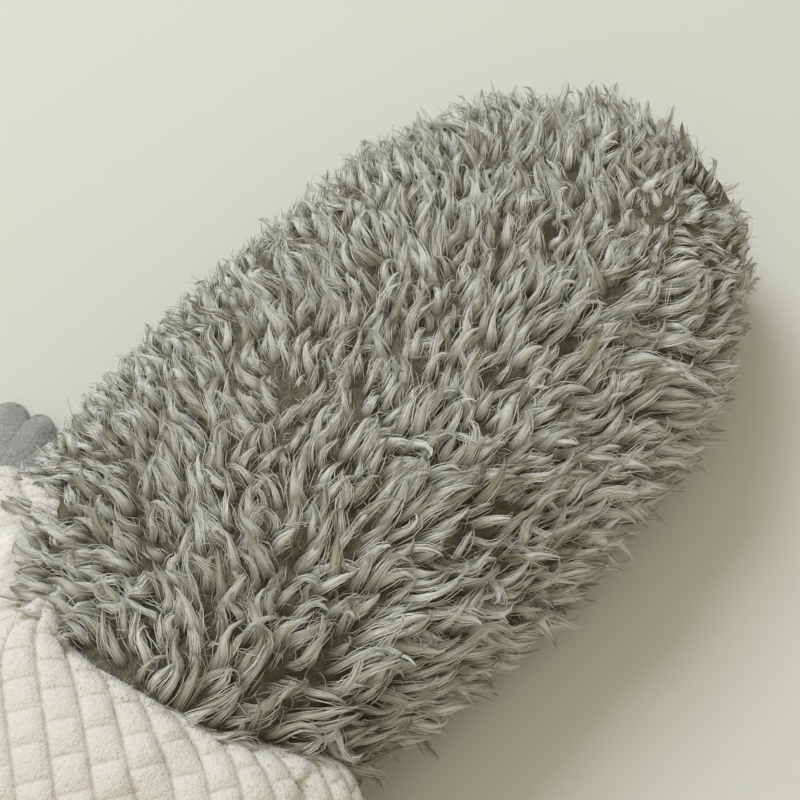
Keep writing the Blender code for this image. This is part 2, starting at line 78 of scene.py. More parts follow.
PLAN_POWER = 2.41  # 2 would be an ellipse, more is squarer
SECTION_POWER = 2.4
HEIGHT_POWER = 0.8  # how slowly the body's height falls where its width narrows
FLOOR_CLEARANCE = 0.0004
FOOT_TURNS = {"foot_left": 39.0, "foot_right": -118.0}  # degrees from +X, at rest

Colour = tuple[float, float, float]
Socket = bpy.types.NodeSocket
Lines = tuple[np.ndarray, np.ndarray, np.ndarray]  # places, side directions and face directions


def signed_power(value: np.ndarray, power: float) -> np.ndarray:
    """Raises the size of a value to a power and keeps its sign."""
    return np.sign(value) * np.abs(value) ** power


def unit(vectors: np.ndarray) -> np.ndarray:
    """Scales vectors to length one."""
    return vectors / np.maximum(np.linalg.norm(vectors, axis=-1, keepdims=True), 1e-12)


def smooth_step(value: np.ndarray) -> np.ndarray:
    """Eases from 0 to 1 and holds both ends."""
    held = np.clip(value, 0.0, 1.0)
    return held * held * (3 - 2 * held)


def bell(value: np.ndarray, width: float) -> np.ndarray:
    """A smooth bump: 1 at a value of 0, and about a third where the value is the width."""
    return np.exp(-((value / width) ** 2))


def turned(first: np.ndarray, second: np.ndarray, angle: np.ndarray) -> np.ndarray:
    """Turns unit vectors towards the second ones, each by its own angle in radians."""
    return first * np.cos(angle)[:, None] + second * np.sin(angle)[:, None]


def gone_from(places: np.ndarray, spots: list[Vector]) -> np.ndarray:
    """How far each place is from the nearest of some spots."""
    return np.min([np.linalg.norm(places - np.array(spot), axis=-1) for spot in spots], axis=0)


def running_length(places: np.ndarray, axis: int = 0) -> np.ndarray:
    """The distance run from the first place to each of them, along an axis."""
    steps = np.linalg.norm(np.diff(places, axis=axis), axis=-1)
    return np.insert(np.cumsum(steps, axis=axis), 0, 0.0, axis=axis)


def keep_off_table(places: np.ndarray) -> None:
    """Lifts the places that are lower than the table allows."""
    places[..., 2] = np.maximum(places[..., 2], FLOOR_CLEARANCE)


def grid_over(
    columns: int, rows: int, across: tuple[float, float], down: tuple[float, float]
) -> tuple[np.ndarray, np.ndarray]:
    """Evenly spaced values for the corners of a grid.

    Args:
        columns: Faces along the first direction.
        rows: Faces along the second direction.
        across: The first and the last value along the first direction.
        down: The first and the last value along the second direction.

    Returns:
        The two values by column and row.
    """
    first, second = np.linspace(*across, columns + 1), np.linspace(*down, rows + 1)
    return tuple(np.meshgrid(first, second, indexing="ij"))


def repeated_faces(faces: list[tuple[int, ...]], starts: np.ndarray) -> list[list[int]]:
    """The faces of many equal shapes, whose corners start at the given numbers."""
    return [row for face in faces for row in (np.asarray(face)[None, :] + starts[:, None]).tolist()]


def wander(points: np.ndarray, cell: float, seed: float) -> np.ndarray:
    """Smooth noise from about -1 to 1.

    Args:
        points: Places in metres, one a row.
        cell: Rough size of a patch of the noise, in metres.
        seed: Moves the noise so that two calls differ.

    Returns:
        One value a place.
    """
    shift = Vector((seed, 2.3 * seed, -1.7 * seed))
    return np.array([noise.noise(Vector(p) / cell + shift) for p in points])


# ---------------------------------------------------------------------------------------------
# Finishes
# ---------------------------------------------------------------------------------------------
class Pattern(Enum):
    """Which coordinates a finish follows."""

    OBJECT = "Object"
    UV = "UV"


class NodeTable:
    """A material's node tree with short ways to add to it."""

    def __init__(self, name: str, roughness: float) -> None:
        """Starts a material.

        Args:
            name: The material's name.
            roughness: Roughness of its shader.
        """
        self.material = bpy.data.materials.new(name)
        self.material.use_nodes = True
        self.tree = self.material.node_tree
        self.shader = self.tree.nodes["Principled BSDF"]
        self.shader.inputs["Roughness"].default_value = roughness

    def add(self, kind: str, **settings: object) -> bpy.types.Node:
        """Adds a node.

        Args:
            kind: The node's type.
            settings: Its properties, or default values of its inputs by name.

        Returns:
            The new node.
        """
        node = self.tree.nodes.new(kind)
        for name, value in settings.items():
            if hasattr(node, name):
                setattr(node, name, value)
            else:
                node.inputs[name.replace("_", " ")].default_value = value
        return node

    def link(self, source: Socket, target: Socket) -> None:
        """Joins two sockets."""
        self.tree.links.new(source, target)

    def place(self, pattern: Pattern, scale: float = 1.0) -> Socket:
        """Coordinates that a pattern reads.

        Args:
            pattern: Object coordinates or the piece's own UV map.
            scale: How many times finer than one metre the pattern gets.

        Returns:
            A vector socket.
        """
        coordinates = self.add("ShaderNodeTexCoord")
        mapping = self.add("ShaderNodeMapping")
        mapping.inputs["Scale"].default_value = (scale, scale, scale)
        self.link(coordinates.outputs[pattern.value], mapping.inputs["Vector"])
        return mapping.outputs["Vector"]

    def noise(
        self, vector: Socket, scale: float, detail: float = 2.0
    ) -> Socket:
        """A noise texture's value.

        Args:
            vector: Where it is read.
            scale: Its fineness.
            detail: How many finer layers it has.

        Returns:
            A value socket.
        """
        node = self.add("ShaderNodeTexNoise", Scale=scale, Detail=detail)
        self.link(vector, node.inputs["Vector"])
        return node.outputs["Fac"]

    def ramp(
        self, value: Socket, stops: list[tuple[float, Colour]]
    ) -> Socket:
        """A colour ramp.

        Args:
            value: What it reads.
            stops: Places from 0 to 1 and their colours.

        Returns:
            A colour socket.
        """
        node = self.add("ShaderNodeValToRGB")
        elements = node.color_ramp.elements
        while len(elements) < len(stops):
            elements.new(0.5)
        for element, (position, colour) in zip(elements, stops):
            element.position = position
            element.color = (*colour, 1.0)
        self.link(value, node.inputs["Fac"])
        return node.outputs["Color"]

    def math(
        self, operation: str, first: Socket, second: float | Socket
    ) -> Socket:
        """A sum of two values, or another operation on them.

        Args:
            operation: Blender's name of it.
            first: A value socket.
            second: A value socket or a number.

        Returns:
            A value socket.
        """
        node = self.add("ShaderNodeMath", operation=operation)
        self.link(first, node.inputs[0])
        if isinstance(second, (int, float)):
            node.inputs[1].default_value = second
        else:
            self.link(second, node.inputs[1])
        return node.outputs["Value"]

    def mix(
        self,
        share: Socket | float,
        first: Socket | Colour,
        second: Socket | Colour,
        blend: str = "MIX",
    ) -> Socket:
        """Mixes two colours.

        Args:
            share: How much of the second.
            first: A colour or its socket.
            second: A colour or its socket.
            blend: How the two are mixed.

        Returns:
            A colour socket.
        """
        node = self.add("ShaderNodeMix", data_type="RGBA", blend_type=blend)
        sockets = (node.inputs[0], node.inputs[6], node.inputs[7])
        for socket, value in zip(sockets, (share, first, second)):
            if isinstance(value, Socket):
                self.link(value, socket)
            elif isinstance(value, tuple):
                socket.default_value = (*value, 1.0)
            else:
                socket.default_value = value
        return node.outputs[2]

    def blend(self, first: Socket, much: float, second: Socket, more: float) -> Socket:
        """Adds two values, each times its own share."""
        scaled = self.math("MULTIPLY", first, much), self.math("MULTIPLY", second, more)
        return self.math("ADD", *scaled)

    def colour(self, socket: Socket) -> None:
        """Gives the shader its colour."""
        self.link(socket, self.shader.inputs["Base Color"])

    def bump(
        self, height: Socket, distance: float, strength: float = 1.0
    ) -> None:
        """Gives the shader a bump.

        Args:
            height: Its height, from 0 to 1.
            distance: What 1 stands for, in metres.
            strength: How much of it shows.
        """
        node = self.add("ShaderNodeBump", Strength=strength, Distance=distance)
        self.link(height, node.inputs["Height"])
        self.link(node.outputs["Normal"], self.shader.inputs["Normal"])

    def sheen(self, weight: float, roughness: float = 0.5) -> None:
        """Gives the shader the soft edge light of cloth."""
        self.shader.inputs["Sheen Weight"].default_value = weight
        self.shader.inputs["Sheen Roughness"].default_value = roughness


@dataclass(frozen=True)
class FurFinish:
    """Locked pile, pale grey to olive brown, with painted shade under each lock and at its root."""

    pale: Colour = (0.86, 0.88, 0.855)
    middle: Colour = (0.64, 0.655, 0.58)
    olive: Colour = (0.36, 0.355, 0.24)
    # painted shade, deep in the pile at the root of each lock
    root: Colour = (0.19, 0.18, 0.115)
    tip: Colour = (0.22, 0.20, 0.12)

    def make(self) -> bpy.types.Material:
        """Builds the material. It reads the colour attribute that each lock carries.

        Returns:
            The material.
        """
        table = NodeTable("locked_pile", roughness=0.85)
        told = table.add("ShaderNodeAttribute", attribute_name="lock")
        split = table.add("ShaderNodeSeparateColor")
        table.link(told.outputs["Color"], split.inputs["Color"])
        tone, along, chance = (split.outputs[n] for n in ("Red", "Green", "Blue"))
        combed = table.add("ShaderNodeAttribute", attribute_name="fibre")
        streak = table.noise(combed.outputs["Vector"], 9.0, 3.0)
        streaked = table.math("MULTIPLY", table.math("SUBTRACT", streak, 0.5), 1.3)
        shifted = table.math("ADD", tone, streaked)
        shade = table.ramp(shifted, [(0.08, self.olive), (0.45, self.middle), (0.85, self.pale)])
        # Painted shade: each lock darkens towards its root, deep in the pile.
        depth = table.ramp(along, [(0.02, (0.0, 0.0, 0.0)), (0.46, (1.0, 1.0, 1.0))])
        root_shaded = table.mix(depth, self.root, shade)
        ending = table.ramp(along, [(0.52, (0.0, 0.0, 0.0)), (0.95, (1.0, 1.0, 1.0))])
        tipped = table.mix(table.math("MULTIPLY", ending, told.outputs["Alpha"]), root_shaded, self.tip)
        tint = table.mix(table.math("MULTIPLY", chance, 0.07), tipped, (0.42, 0.36, 0.25))
        table.colour(tint)
        table.bump(streak, 0.0006, 0.8)
        table.shader.inputs["Specular IOR Level"].default_value = 0.3
        table.sheen(0.15)
        return table.material


@dataclass(frozen=True)
class BackingFinish:
    """Dense short underfur on the backing, seen between the locks; painted shade in its low spots.
    """

    # painted shade, in the underfur's low spots
    deep: Colour = (0.060, 0.057, 0.036)
    raised: Colour = (0.19, 0.18, 0.12)

    def make(self) -> bpy.types.Material:
        """Builds the material.

        Returns:
            The material.
        """
        table = NodeTable("underfur", roughness=0.95)
        place = table.place(Pattern.OBJECT)
        coarse = table.noise(place, 260.0, 3.0)
        fine = table.noise(place, 1600.0, 2.0)
        both = table.blend(coarse, 0.6, fine, 0.4)
        # Painted shade: the colour follows the bump, darker where it is low.
        table.colour(table.ramp(both, [(0.35, self.deep), (0.62, self.raised)]))
        table.bump(both, 0.0018)
        return table.material


@dataclass(frozen=True)
class WaffleFinish:
    """Short cream plush; grooves get painted shade. The map's two coordinates count the puffed
    squares.
    """

    top: Colour = (0.785, 0.785, 0.755)
    # painted shade in the grooves between the puffed squares
    groove_shade: Colour = (0.58, 0.525, 0.45)

    def make(self) -> bpy.types.Material:
        """Builds the material.

        Returns:
            The material.
        """
        table = NodeTable("waffle_plush_cream", roughness=0.95)
        split = table.add("ShaderNodeSeparateXYZ")
        table.link(table.place(Pattern.UV), split.inputs["Vector"])
        fibre = table.noise(table.place(Pattern.OBJECT), 1400.0, 3.0)
        tuft = table.noise(table.place(Pattern.OBJECT), 420.0, 2.0)
        column = table.math("FLOOR", split.outputs["X"], 0.0)
        odd = table.math("MULTIPLY", table.math("MODULO", column, 2.0), 0.5)
        uneven = table.math("SINE", table.math("MULTIPLY", column, 5.3), 0.0)
        shift = table.math("ADD", odd, table.math("MULTIPLY", uneven, 0.12))
        distances = []
        staggered = table.math("ADD", split.outputs["Y"], shift)
        for counted, depth in ((split.outputs["X"], 1.0), (staggered, 0.93)):
            share = table.math("FRACT", counted, 0.0)
            middle = table.math("ABSOLUTE", table.math("SUBTRACT", share, 0.5), 0.0)
            distances.append(table.math("MULTIPLY", middle, depth))
        edge = table.math("MAXIMUM", distances[0], distances[1])
        # Painted shade: near a square's edge the plush turns to the darker groove colour; noise
        # makes that edge uneven.
        groove_jitter = table.math("MULTIPLY", table.math("SUBTRACT", tuft, 0.5), 0.10)
        worn = table.math("ADD", edge, groove_jitter)
        base = table.ramp(worn, [(0.40, self.top), (0.50, self.groove_shade)])
        mottled = table.mix(table.math("MULTIPLY", fibre, 0.22), base, (0.52, 0.48, 0.40))
        table.colour(mottled)
        both = table.blend(fibre, 0.5, tuft, 0.5)
        table.bump(both, 0.0011, 0.9)
        table.sheen(0.25)
        return table.material


@dataclass(frozen=True)
class FeltFinish:
    """Dense matted felt with pale and dark fibres."""

    name: str
    colour: Colour
    fibre: Colour

    def make(self) -> bpy.types.Material:
        """Builds the material.

        Returns:
            The material.
        """
        table = NodeTable(self.name, roughness=0.95)
        place = table.place(Pattern.OBJECT)
        matted = table.noise(place, 900.0, 4.0)
        cloudy = table.noise(place, 110.0, 2.0)
        hairs = table.add("ShaderNodeTexNoise", Scale=2600.0, Detail=2.0, Distortion=1.5)
        table.link(place, hairs.inputs["Vector"])
        both = table.math("MULTIPLY", table.math("ADD", matted, hairs.outputs["Fac"]), 0.4)
        share = table.math("ADD", both, table.math("MULTIPLY", cloudy, 0.2))
        table.colour(table.ramp(share, [(0.36, self.colour), (0.64, self.fibre)]))
        table.bump(matted, 0.0005, 0.8)
        table.sheen(0.2)
        return table.material


@dataclass(frozen=True)
class WovenFinish:
    """Plain woven cloth, its threads in the map's two directions."""

    name: str
    warp: Colour
    weft: Colour
    threads: float = 1600.0  # to the metre

    def make(self) -> bpy.types.Material:
        """Builds the material.

        Returns:
            The material.
        """
        table = NodeTable(self.name, roughness=0.9)
        place = table.place(Pattern.UV)
        waves = []
        for direction in ("X", "Y"):
            wave = table.add(
                "ShaderNodeTexWave", Scale=self.threads / 3.14, bands_direction=direction,
                Distortion=0.6,
            )
            table.link(place, wave.inputs["Vector"])
            waves.append(wave.outputs["Fac"])
        weave = table.math("MULTIPLY", waves[0], waves[1])
        slub = table.noise(place, 60.0, 3.0)
        mixed = table.blend(weave, 0.5, slub, 0.5)
        table.colour(table.ramp(mixed, [(0.25, self.weft), (0.75, self.warp)]))
        table.bump(weave, 0.0003, 0.7)
        table.sheen(0.1)
        return table.material


@dataclass(frozen=True)
class WaddingFinish:
    """Loose white filling."""

    def make(self) -> bpy.types.Material:
        """Builds the material.

        Returns:
            The material.
        """
        table = NodeTable("loose_filling", roughness=1.0)
        place = table.place(Pattern.OBJECT)
        cloud = table.noise(place, 180.0, 5.0)
        table.colour(table.ramp(cloud, [(0.3, (0.62, 0.62, 0.60)), (0.7, (0.86, 0.86, 0.84))]))
        table.bump(cloud, 0.002)
        table.sheen(0.3)
        return table.material


@dataclass(frozen=True)
class BoardFinish:
    """Pressed grey board."""

    def make(self) -> bpy.types.Material:
        """Builds the material.

        Returns:
            The material.
        """
        table = NodeTable("pressed_board", roughness=0.8)
        place = table.place(Pattern.OBJECT)
        flecks = table.noise(place, 900.0, 3.0)
        table.colour(table.ramp(flecks, [(0.35, (0.20, 0.17, 0.13)), (0.65, (0.36, 0.32, 0.26))]))
        table.bump(flecks, 0.0002, 0.5)
        return table.material


@dataclass(frozen=True)
class PlasticFinish:
    """Moulded plastic with faint flow marks and fine scratches."""

    name: str
    colour: Colour
    worn: Colour
    roughness: float
    coat: float = 0.0

    def make(self) -> bpy.types.Material:
        """Builds the material.

        Returns:
            The material.
        """
        table = NodeTable(self.name, roughness=self.roughness)
        place = table.place(Pattern.OBJECT)
        flow = table.noise(place, 140.0, 4.0)
        table.colour(table.ramp(flow, [(0.45, self.colour), (0.80, self.worn)]))
        fine = table.noise(place, 2400.0, 2.0)
        table.bump(fine, 0.00004, 0.3)
        table.shader.inputs["Coat Weight"].default_value = self.coat
        table.shader.inputs["Coat Roughness"].default_value = 0.04
        return table.material


class Wardrobe:
    """Every finish of the puppet, made once."""

    def __init__(self) -> None:
        """Makes the materials."""
        self.fur = FurFinish().make()
        self.backing = BackingFinish().make()
        self.waffle = WaffleFinish().make()
        grey_blue = (0.20, 0.218, 0.205), (0.42, 0.44, 0.415)
        self.felt = FeltFinish("grey_blue_felt", *grey_blue).make()
        self.tongue = FeltFinish("rose_felt", (0.33, 0.10, 0.10), (0.62, 0.30, 0.28)).make()
        self.lining = WovenFinish("lining_cotton", (0.56, 0.53, 0.46), (0.36, 0.34, 0.29)).make()
        greys = (0.30, 0.33, 0.33), (0.18, 0.20, 0.20)
        self.thread = WovenFinish("grey_thread", *greys, 4000.0).make()
        self.filling = WaddingFinish().make()
        self.board = BoardFinish().make()
        blacks = (0.006, 0.005, 0.004), (0.016, 0.012, 0.009)
        self.eye = PlasticFinish("eye_black", *blacks, 0.12, 1.0).make()
        self.snap = PlasticFinish("snap_white", (0.70, 0.70, 0.67), (0.60, 0.60, 0.56), 0.45).make()


# ---------------------------------------------------------------------------------------------
# Making pieces
# ---------------------------------------------------------------------------------------------
def add_piece(mesh: bpy.types.Mesh, material: bpy.types.Material) -> bpy.types.Object:
    """Makes a piece of a mesh.

    Args:
        mesh: The mesh, which has the piece's name.
        material: Its finish.

    Returns:
        The new object.
    """
    piece = bpy.data.objects.new(mesh.name, mesh)
    bpy.context.scene.collection.objects.link(piece)
    mesh.materials.append(material)
    mesh.shade_smooth()
    return piece


def finish_piece(
    name: str, shape: bmesh.types.BMesh, material: bpy.types.Material
) -> bpy.types.Object:
    """Makes a piece of a bmesh.

    Args:
        name: The piece's name.
        shape: Its shape, in the row frame. It is used up.
        material: Its finish.

    Returns:
        The new object.
    """
    mesh = bpy.data.meshes.new(name)
    shape.to_mesh(mesh)
    shape.free()
    return add_piece(mesh, material)


def dress(node: str, material: bpy.types.Material) -> None:
    """Gives its finish to a solid that is shown as it is.

    Args:
        node: The solid's name.
        material: Its finish.
    """
    materials = bpy.data.objects[node].data.materials
    materials.clear()
    materials.append(material)


def mapped_grid(
    columns: int, rows: int, points: np.ndarray, uv: np.ndarray, join: float
) -> bmesh.types.BMesh:
    """Lays a flat grid over a surface and closes its seam.

    Args:
        columns: Faces along the first direction.
        rows: Faces along the second direction.
        points: Places by column and row, one more than the faces each way.
        uv: Map coordinates by column and row.
        join: Distance within which its edges are merged.

    Returns:
        The surface.
    """
    shape = bmesh.new()
    bmesh.ops.create_grid(shape, x_segments=columns, y_segments=rows, size=1.0)
    layer = shape.loops.layers.uv.new("cloth")
    places = {}
    for vertex in shape.verts:
        i = round((vertex.co.x + 1) / 2 * columns)
        j = round((vertex.co.y + 1) / 2 * rows)
        places[vertex] = (i, j)
    for face in shape.faces:
        for loop in face.loops:
            loop[layer].uv = uv[places[loop.vert]]
    for vertex, place in places.items():
        vertex.co = points[place]
    bmesh.ops.remove_doubles(shape, verts=shape.verts, dist=join)
    return shape


def thicken(piece: bpy.types.Object, thickness: float) -> None:
    """Gives a surface a wall, inward from its faces."""
    wall = piece.modifiers.new("wall", "SOLIDIFY")
    wall.thickness, wall.offset = thickness, -1.0


def surface_normals(points: np.ndarray) -> np.ndarray:
    """Normals of a surface given by column and row, to the left of its columns.

    Args:
        points: Places by column and row.

    Returns:
        Unit vectors by column and row.
    """
    along = np.gradient(points, axis=0)
    across = np.gradient(points, axis=1)
    return unit(np.cross(along, across))


def cloth_length(points: np.ndarray) -> float:
    """How long a cloth is along its rows, on average over its columns."""
    return float(np.linalg.norm(np.diff(points, axis=1), axis=2).sum(axis=1).mean())


@dataclass(frozen=True)
class Softener:
    """Turns a plain soft solid into a piece with a soft, uneven surface."""

    depth: float = 0.0002
    cell: float = 0.006

    def make(
        self, name: str, node: str, material: bpy.types.Material, slot: str
    ) -> bpy.types.Object:
        """Copies a solid, makes it uneven and puts it in its place.

        Args:
            name: The new piece's name.
            node: The solid that it replaces.
            material: Its finish.
            slot: The record's material slot. Not used.

        Returns:
            The new piece.
        """
        source = bpy.data.objects[node]
        shape = bmesh.new()
        shape.from_mesh(source.data)
        bmesh.ops.remove_doubles(shape, verts=shape.verts, dist=1e-6)
        bmesh.ops.dissolve_limit(shape, angle_limit=0.01, verts=shape.verts, edges=shape.edges)
        bmesh.ops.triangulate(shape, faces=shape.faces)
        long_edges = [e for e in shape.edges if e.calc_length() > self.cell]
        bmesh.ops.subdivide_edges(shape, edges=long_edges, cuts=2, use_grid_fill=True)
        bmesh.ops.triangulate(shape, faces=shape.faces)
        shape.normal_update()
        for vertex in shape.verts:
            sway = noise.noise(vertex.co / self.cell)
            vertex.co -= vertex.normal * self.depth * (0.5 + 0.5 * sway)
        layer = shape.loops.layers.uv.verify()
        for face in shape.faces:
            for loop in face.loops:
                loop[layer].uv = (loop.vert.co.x, loop.vert.co.y + loop.vert.co.z)
        piece = finish_piece(name, shape, material)
        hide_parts(node)
        return piece


# ---------------------------------------------------------------------------------------------
# The body
# ---------------------------------------------------------------------------------------------
@dataclass(frozen=True)
class BodyShape:
    """The furry body's surface, from the inner face of the backing out to the top of the pile."""

    nose: float
    mouth_level: float
    seam_x: float
    hinge_x: float
    half_width: float = 0.079
    pile_side: float = 0.015
    pile_top: float = 0.013
    top: float = 0.076
    sink: float = 0.008
    neck_half_width: float = 0.050
    neck_pile: float = 0.004

    @classmethod
    def from_frame(cls, joints: list[dict]) -> BodyShape:
        """Reads the body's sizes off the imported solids.

        Args:
            joints: The record's joints.

        Returns:
            The body's shape.
        """
        hinge = next(j for j in joints if j["name"] == "mouth_open")
        back_low, back_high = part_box("fur_back")
        return cls(
            nose=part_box("fur_head")[1].x,
            mouth_level=hinge["pos_m"][2],
            seam_x=back_low.x,
            hinge_x=hinge["pos_m"][0],
            top=back_high.z,
        )

    def point(
        self, along: np.ndarray, around: np.ndarray, depth: np.ndarray | float
    ) -> np.ndarray:
        """Places on the body.

        Args:
            along: 0 at the widest place, 1 at the nose and -1 at the seam inside the cuff.
            around: Radians up from the puppet's left.
            depth: 0 on the inner face of the backing and 1 on top of the pile.

        Returns:
            Places, one a row.
        """
        side_gap = self.pile_side * (1 - depth)
        top_gap = self.pile_top * (1 - depth)
        ahead = np.clip(along, 0.0, 1.0) * math.pi / 2
        front_x = (self.nose - side_gap) * np.sin(ahead) ** (2 / PLAN_POWER)
        front_share = np.maximum(np.cos(ahead), 0.0) ** (2 / PLAN_POWER)
        half = self.half_width - side_gap
        neck = (self.neck_half_width - self.neck_pile * (1 - depth)) / half
        behind = np.clip(-along, 0.0, 1.4)
        share = np.where(
            along > 0, front_share, 1 - (1 - neck) * np.minimum(behind, 1.0) ** PLAN_POWER
        )
        x = np.where(along > 0, front_x, self.seam_x * behind)
        rise = self.top - self.mouth_level - top_gap
        drop = self.mouth_level + self.sink - (self.sink + 0.005) * (1 - depth)
        side, up = np.cos(around), np.sin(around)
        height = np.where(up > 0, rise, drop)
        y = half * share * signed_power(side, 2 / SECTION_POWER)
        z = self.mouth_level + height * share**HEIGHT_POWER * signed_power(up, 2 / SECTION_POWER)
        return np.stack([x, y, np.broadcast_to(z, x.shape)], axis=-1)

    def normal(self, along: np.ndarray, around: np.ndarray, depth: float) -> np.ndarray:
        """Outward normals of the body.

        Args:
            along: As in point.
            around: As in point.
            depth: As in point.

        Returns:
            Unit vectors, one a row.
        """
        step = 0.01
        forward = self.point(np.minimum(along + step, 0.999), around, depth)
        back = self.point(np.minimum(along + step, 0.999) - 2 * step, around, depth)
        left = self.point(along, around + step, depth)
        right = self.point(along, around - step, depth)
        return unit(np.cross(forward - back, left - right) * -1.0)


@dataclass
class LockPattern:
    """One lock of fur: a combed core in a bundle of fine strands that meet at the tip."""

    strands: int = 13
    strands_below: int = 8  # where the puppet lies on the table
    half_width: float = 0.0018
    half_thickness: float = 0.0011
    strand_width: float = 0.00018
    strand_thickness: float = 0.00013
    stations: tuple[float, ...] = (0.0, 0.28, 0.50, 0.68, 0.85, 1.0)
    taper: tuple[float, ...] = (0.9, 1.0, 1.0, 0.9, 0.6, 0.0)
    girth: tuple[float, ...] = (1.35, 1.25, 0.90, 0.50, 0.05)
    core: float = 0.64  # the core's width beside the lock's; 0 leaves it out
    core_stations: tuple[float, ...] = (0.0, 0.2, 0.4, 0.6, 0.78, 0.9, 1.0)
    core_taper: tuple[float, ...] = (0.9, 1.0, 1.0, 1.0, 1.0, 1.0, 0.0)
    stray: float = 0.34
    variants: int = 24

    @staticmethod
    def tube_mesh(sides: int, taper: tuple[float, ...]) -> tuple[np.ndarray, list[tuple[int, ...]]]:
        """A closed tube, drawn out from a circle station by station.

        Args:
            sides: Its number of sides.
            taper: Its radius at each station; the last is its point.

        Returns:
            Its corners as (side, face, station) with sizes of 1, and its faces.
        """
        shape = bmesh.new()
        bmesh.ops.create_circle(shape, segments=sides, radius=1.0, cap_ends=True)
        bmesh.ops.reverse_faces(shape, faces=shape.faces)
        ring = list(shape.edges)
        for level, width in list(enumerate(taper))[1:]:
            grown = bmesh.ops.extrude_edge_only(shape, edges=ring)["geom"]
            ring = [item for item in grown if isinstance(item, bmesh.types.BMEdge)]
            corners = [item for item in grown if isinstance(item, bmesh.types.BMVert)]
            before = taper[level - 1] if level > 1 else 1.0
            scale = width / before if before else 0.0
            bmesh.ops.scale(shape, verts=corners, vec=(scale, scale, 1.0))
            bmesh.ops.translate(shape, verts=corners, vec=(0, 0, 1.0))
        bmesh.ops.remove_doubles(shape, verts=shape.verts, dist=1e-5)
        bmesh.ops.recalc_face_normals(shape, faces=shape.faces)
        shape.verts.ensure_lookup_table()
        corners = np.array([v.co for v in shape.verts])
        faces = [tuple(v.index for v in face.verts) for face in shape.faces]
        shape.free()
        return corners, faces

    def bundles(self, chance: np.random.Generator) -> dict[str, np.ndarray]:
        """Places of the strands in the bundle, for each variant of the lock.

        Args:
            chance: Where random numbers come from.

        Returns:
            Arrays by variant and strand: side, face, reach, splay, sway, ripple.
        """
        size = (self.variants, self.strands)
        turn = chance.uniform(0, 2 * math.pi, size)
        out = np.sqrt(chance.uniform(0.0, 1.0, size))
        stray = chance.uniform(0, 1, size) < self.stray
        return {
            "side": out * np.cos(turn),
            "face": out * np.sin(turn),
            "reach": 1.0 - 0.45 * chance.uniform(0, 1, size) ** 1.5,
            "splay": np.where(stray, chance.uniform(0.5, 2.0, size), 0.0),
            "sway": chance.normal(0, 0.35, size),
            "ripple": chance.normal(0, 0.22, size),
        }


@dataclass
class LockKind:
    """One layer of the pile, with the size and the bend of its locks. Angles are in degrees."""

    name: str
    pattern: LockPattern
    spacing: float
    length: float
    root_depth: float
    rise: tuple[float, float]
    lie: tuple[float, float]
    curl: float
    hooked: float
    wildness: float
    tone: float
    seed: int


@dataclass
class Hollow:
    """A place where the locks part and their roots, painted dark as shade, show."""

    x: float
    y: float
    radius: float


@dataclass(frozen=True)
class FootRoom:
    """The room that a foot needs where it turns furthest under the fur."""

    pivot: tuple[float, float]
    heading: float  # radians around from +X
    heel: float = -0.015
    toes: float = 0.078
    half_width: float = 0.0270
    top: float = 0.0116
    edge: float = 0.003

    def clear(self, places: np.ndarray) -> None:
        """Lifts the places that are in the foot's way.

        Args:
            places: Places in metres, which are changed.
        """
        away = places[..., :2] - np.array(self.pivot)
        ahead = away @ np.array((math.cos(self.heading), math.sin(self.heading)))
        aside = away @ np.array((-math.sin(self.heading), math.cos(self.heading)))
        share = smooth_step((self.toes - ahead) / self.edge)
        share *= smooth_step((ahead - self.heel) / self.edge)
        share *= smooth_step((self.half_width - np.abs(aside)) / self.edge)
        places[..., 2] += np.maximum(self.top - places[..., 2], 0) * share


